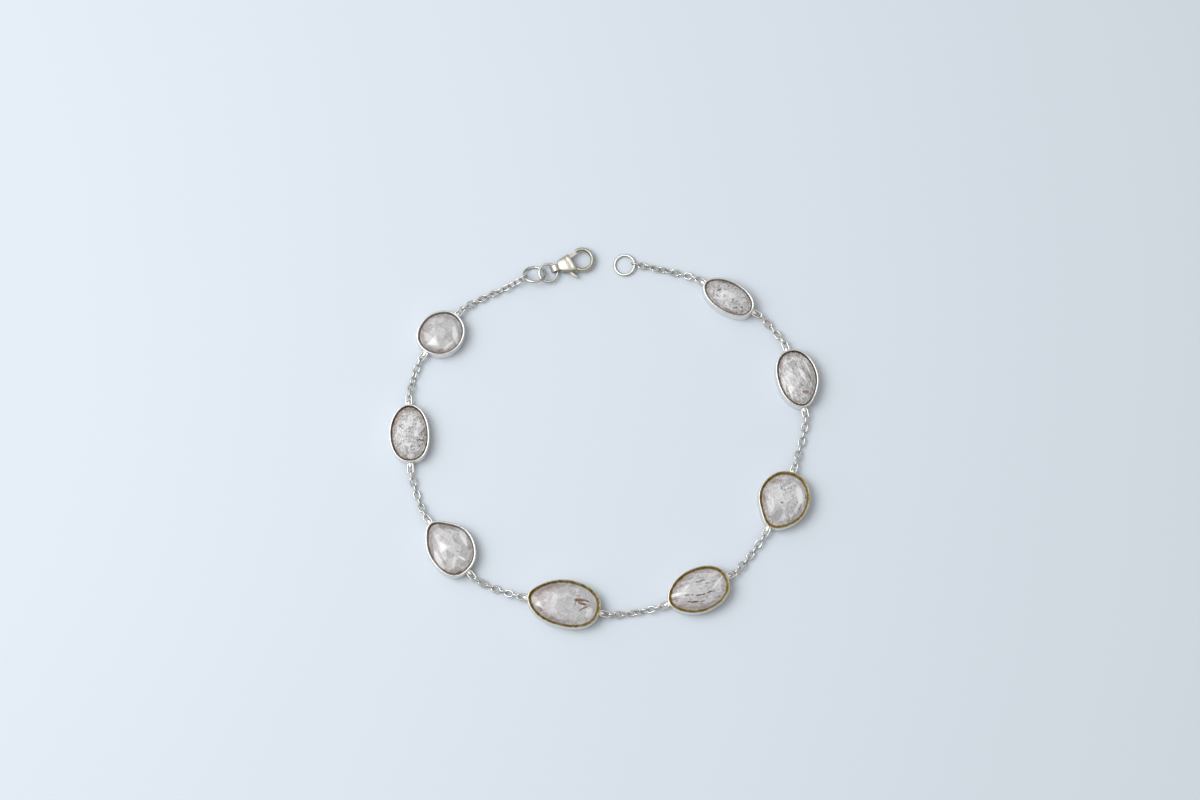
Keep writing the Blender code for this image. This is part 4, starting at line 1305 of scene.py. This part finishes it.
# How much darker than its colour the table gets in places
TABLE_FADE = 0.985
TABLE_PATCHES = Noise(0.01, 2.0, 0.5)
WINDOW_PLACE = (-0.20, 0.02, 0.44)
CARD_PLACE = (-0.26, 0.04, 0.42)
SENSOR_WIDTH = 36.0


def make_floor():
    """The pale table, bigger than any view of it."""
    tones = settings("stage")
    bm = bmesh.new()
    bmesh.ops.create_grid(bm, x_segments=1, y_segments=1, size=TABLE_REACH)
    bmesh.ops.translate(bm, verts=bm.verts, vec=(0.0, 0.0, -TABLE_DROP))
    floor = linked("table", mesh_of("table", bm))
    material, finish, sockets = new_material("pale_table")
    patches = finish.noise(finish.millimetres(), TABLE_PATCHES)
    faint = [TABLE_FADE * tone for tone in tones.floor]
    finish.feed(sockets["Base Color"], finish.mix(patches, tones.floor, faint))
    sockets["Roughness"].default_value = 0.6
    sockets["Specular IOR Level"].default_value = 0.2
    floor.data.materials.append(material)


def make_room():
    """The room's light: a pale ceiling over warm dim walls, brighter on the window's side."""
    tones = settings("stage")
    bpy.context.scene.world = bpy.data.worlds.new("room")
    finish = Finish(bpy.context.scene.world)
    sockets = finish.tree.nodes["Background"].inputs
    east, north, up = finish.parts(finish.add("ShaderNodeTexCoord", output="Generated"))
    walls = finish.mix(finish.between(east, 0.10, -0.70), tones.wall, tones.window_wall)
    walls = finish.mix(finish.between(north, -0.25, -0.80), walls, tones.viewer)
    sky = finish.mix(finish.between(up, 0.45, 0.85), walls, tones.ceiling)
    finish.feed(sockets["Color"], sky)
    finish.feed(sockets["Strength"], tones.room)


def make_light(name, place, power, size, mirrored):
    """A soft square light that looks at the bracelet, and whether polished silver mirrors it."""
    light = bpy.data.lights.new(name, "AREA")
    light.energy = power
    light.size = size
    lamp = linked(name, light)
    lamp.location = place
    lamp.rotation_euler = (-Vector(place)).to_track_quat("-Z", "Y").to_euler()
    lamp.visible_camera = False
    lamp.visible_glossy = mirrored


def make_camera():
    """The camera at the photograph's angle."""
    view = settings("stage")
    aim = Vector((view.look_east, view.look_north, 0.0))
    away = Vector((0.0, -math.cos(view.elevation), math.sin(view.elevation))) * view.distance
    lens = bpy.data.cameras.new("camera")
    lens.lens = view.focal
    lens.sensor_width = SENSOR_WIDTH
    lens.clip_start = 0.01
    camera = linked("camera", lens)
    camera.location = aim + away
    camera.rotation_euler = (math.pi / 2 - view.elevation, 0.0, 0.0)
    bpy.context.scene.camera = camera


# Operators
class MakeBezels(bpy.types.Operator):
    """Builds the eight silver bezels with their soldered loops"""
    bl_idname = "bracelet.bezels"
    bl_label = "Bezels"

    def execute(self, context):
        polish = settings("silver").polish
        material = silver("bezel_silver", polish, wave=0.25, scratch=0.02, film=0.10, lip=True)
        for number in range(1, len(BEZELS) + 1):
            make_bezel(number, material)
        return {"FINISHED"}


class MakeStones(bpy.types.Operator):
    """Cuts the eight stones and gives each its own inclusions"""
    bl_idname = "bracelet.stones"
    bl_label = "Stones"

    def execute(self, context):
        for number in range(1, len(BEZELS) + 1):
            make_stone(number)
        return {"FINISHED"}


class MakeChains(bpy.types.Operator):
    """Links the nine lengths of cable chain"""
    bl_idname = "bracelet.chains"
    bl_label = "Chains"

    def execute(self, context):
        polish = settings("silver").polish
        material = silver("chain_silver", polish, wave=0.05, scratch=0.02, film=0.25)
        leaving = chain_ring_anchor()
        for number, row in enumerate(BEZELS, 1):
            make_chain(number, leaving, loop_anchor(row, 180.0 + row.back_loop), material)
            leaving = loop_anchor(row, row.ahead_loop)
        make_chain(len(BEZELS) + 1, leaving, end_ring_anchor(), material)
        return {"FINISHED"}


class MakeRings(bpy.types.Operator):
    """Bends the two jump rings and the end ring"""
    bl_idname = "bracelet.rings"
    bl_label = "Rings"

    def execute(self, context):
        sizes = settings("rings")
        polish = settings("silver").polish
        material = silver("ring_silver", polish, wave=0.10, scratch=0.02, film=0.18)
        make_ring("clasp_jump_ring", sizes.clasp, clasp_ring_matrix(), material, "jump_ring_clasp")
        make_ring("chain_jump_ring", sizes.chain, chain_ring_matrix(), material, "jump_ring_chain")
        make_ring("closing_ring", sizes.end, end_ring_matrix(), material, "end_ring")
        return {"FINISHED"}


class MakeClasp(bpy.types.Operator):
    """Casts the lobster clasp's body and its lever"""
    bl_idname = "bracelet.clasp"
    bl_label = "Clasp"

    def execute(self, context):
        roughness = settings("silver").polish + CAST_ROUGHNESS
        material = silver("cast_silver", roughness, wave=0.30, scratch=0.04, film=0.45, shade="cast")
        make_clasp_body(material)
        make_lever(material)
        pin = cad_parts["lever_pin"]
        pin.data.materials.clear()
        pin.data.materials.append(material)
        return {"FINISHED"}


class MakeStage(bpy.types.Operator):
    """Lays the table and sets the light and the camera"""
    bl_idname = "bracelet.stage"
    bl_label = "Stage"

    def execute(self, context):
        make_floor()
        make_room()
        tones = settings("stage")
        make_light("window", WINDOW_PLACE, tones.window, tones.window_size, mirrored=False)
        make_light("card", CARD_PLACE, tones.card, tones.card_size, mirrored=True)
        make_camera()
        context.scene.view_settings.view_transform = "Standard"
        return {"FINISHED"}


OPERATORS = (MakeBezels, MakeStones, MakeChains, MakeRings, MakeClasp, MakeStage)


class BraceletPanel(bpy.types.Panel):
    """Lists the bracelet's pieces and their settings"""
    bl_idname = "VIEW3D_PT_bracelet"
    bl_label = "Bezel chain bracelet"
    bl_space_type = "VIEW_3D"
    bl_region_type = "UI"
    bl_category = "Bracelet"

    def draw(self, context):
        for operator in OPERATORS:
            self.layout.operator(operator.bl_idname)
        for group, kind in GROUPS.items():
            box = self.layout.box()
            box.label(text=group.capitalize())
            for name in kind.__annotations__:
                box.prop(settings(group), name)


def register():
    """Makes the settings, operators and panel known."""
    for group, kind in GROUPS.items():
        bpy.utils.register_class(kind)
        setattr(bpy.types.Scene, "bracelet_" + group, PointerProperty(type=kind))
    for kind in (*OPERATORS, BraceletPanel):
        bpy.utils.register_class(kind)


def unregister():
    """Takes them away again."""
    for kind in (BraceletPanel, *reversed(OPERATORS)):
        bpy.utils.unregister_class(kind)
    for group, kind in GROUPS.items():
        delattr(bpy.types.Scene, "bracelet_" + group)
        bpy.utils.unregister_class(kind)


def main():
    """Builds the whole scene."""
    register()
    bpy.ops.bracelet.bezels()
    bpy.ops.bracelet.stones()
    bpy.ops.bracelet.chains()
    bpy.ops.bracelet.rings()
    bpy.ops.bracelet.clasp()
    bpy.ops.bracelet.stage()


if __name__ == "__main__":
    main()
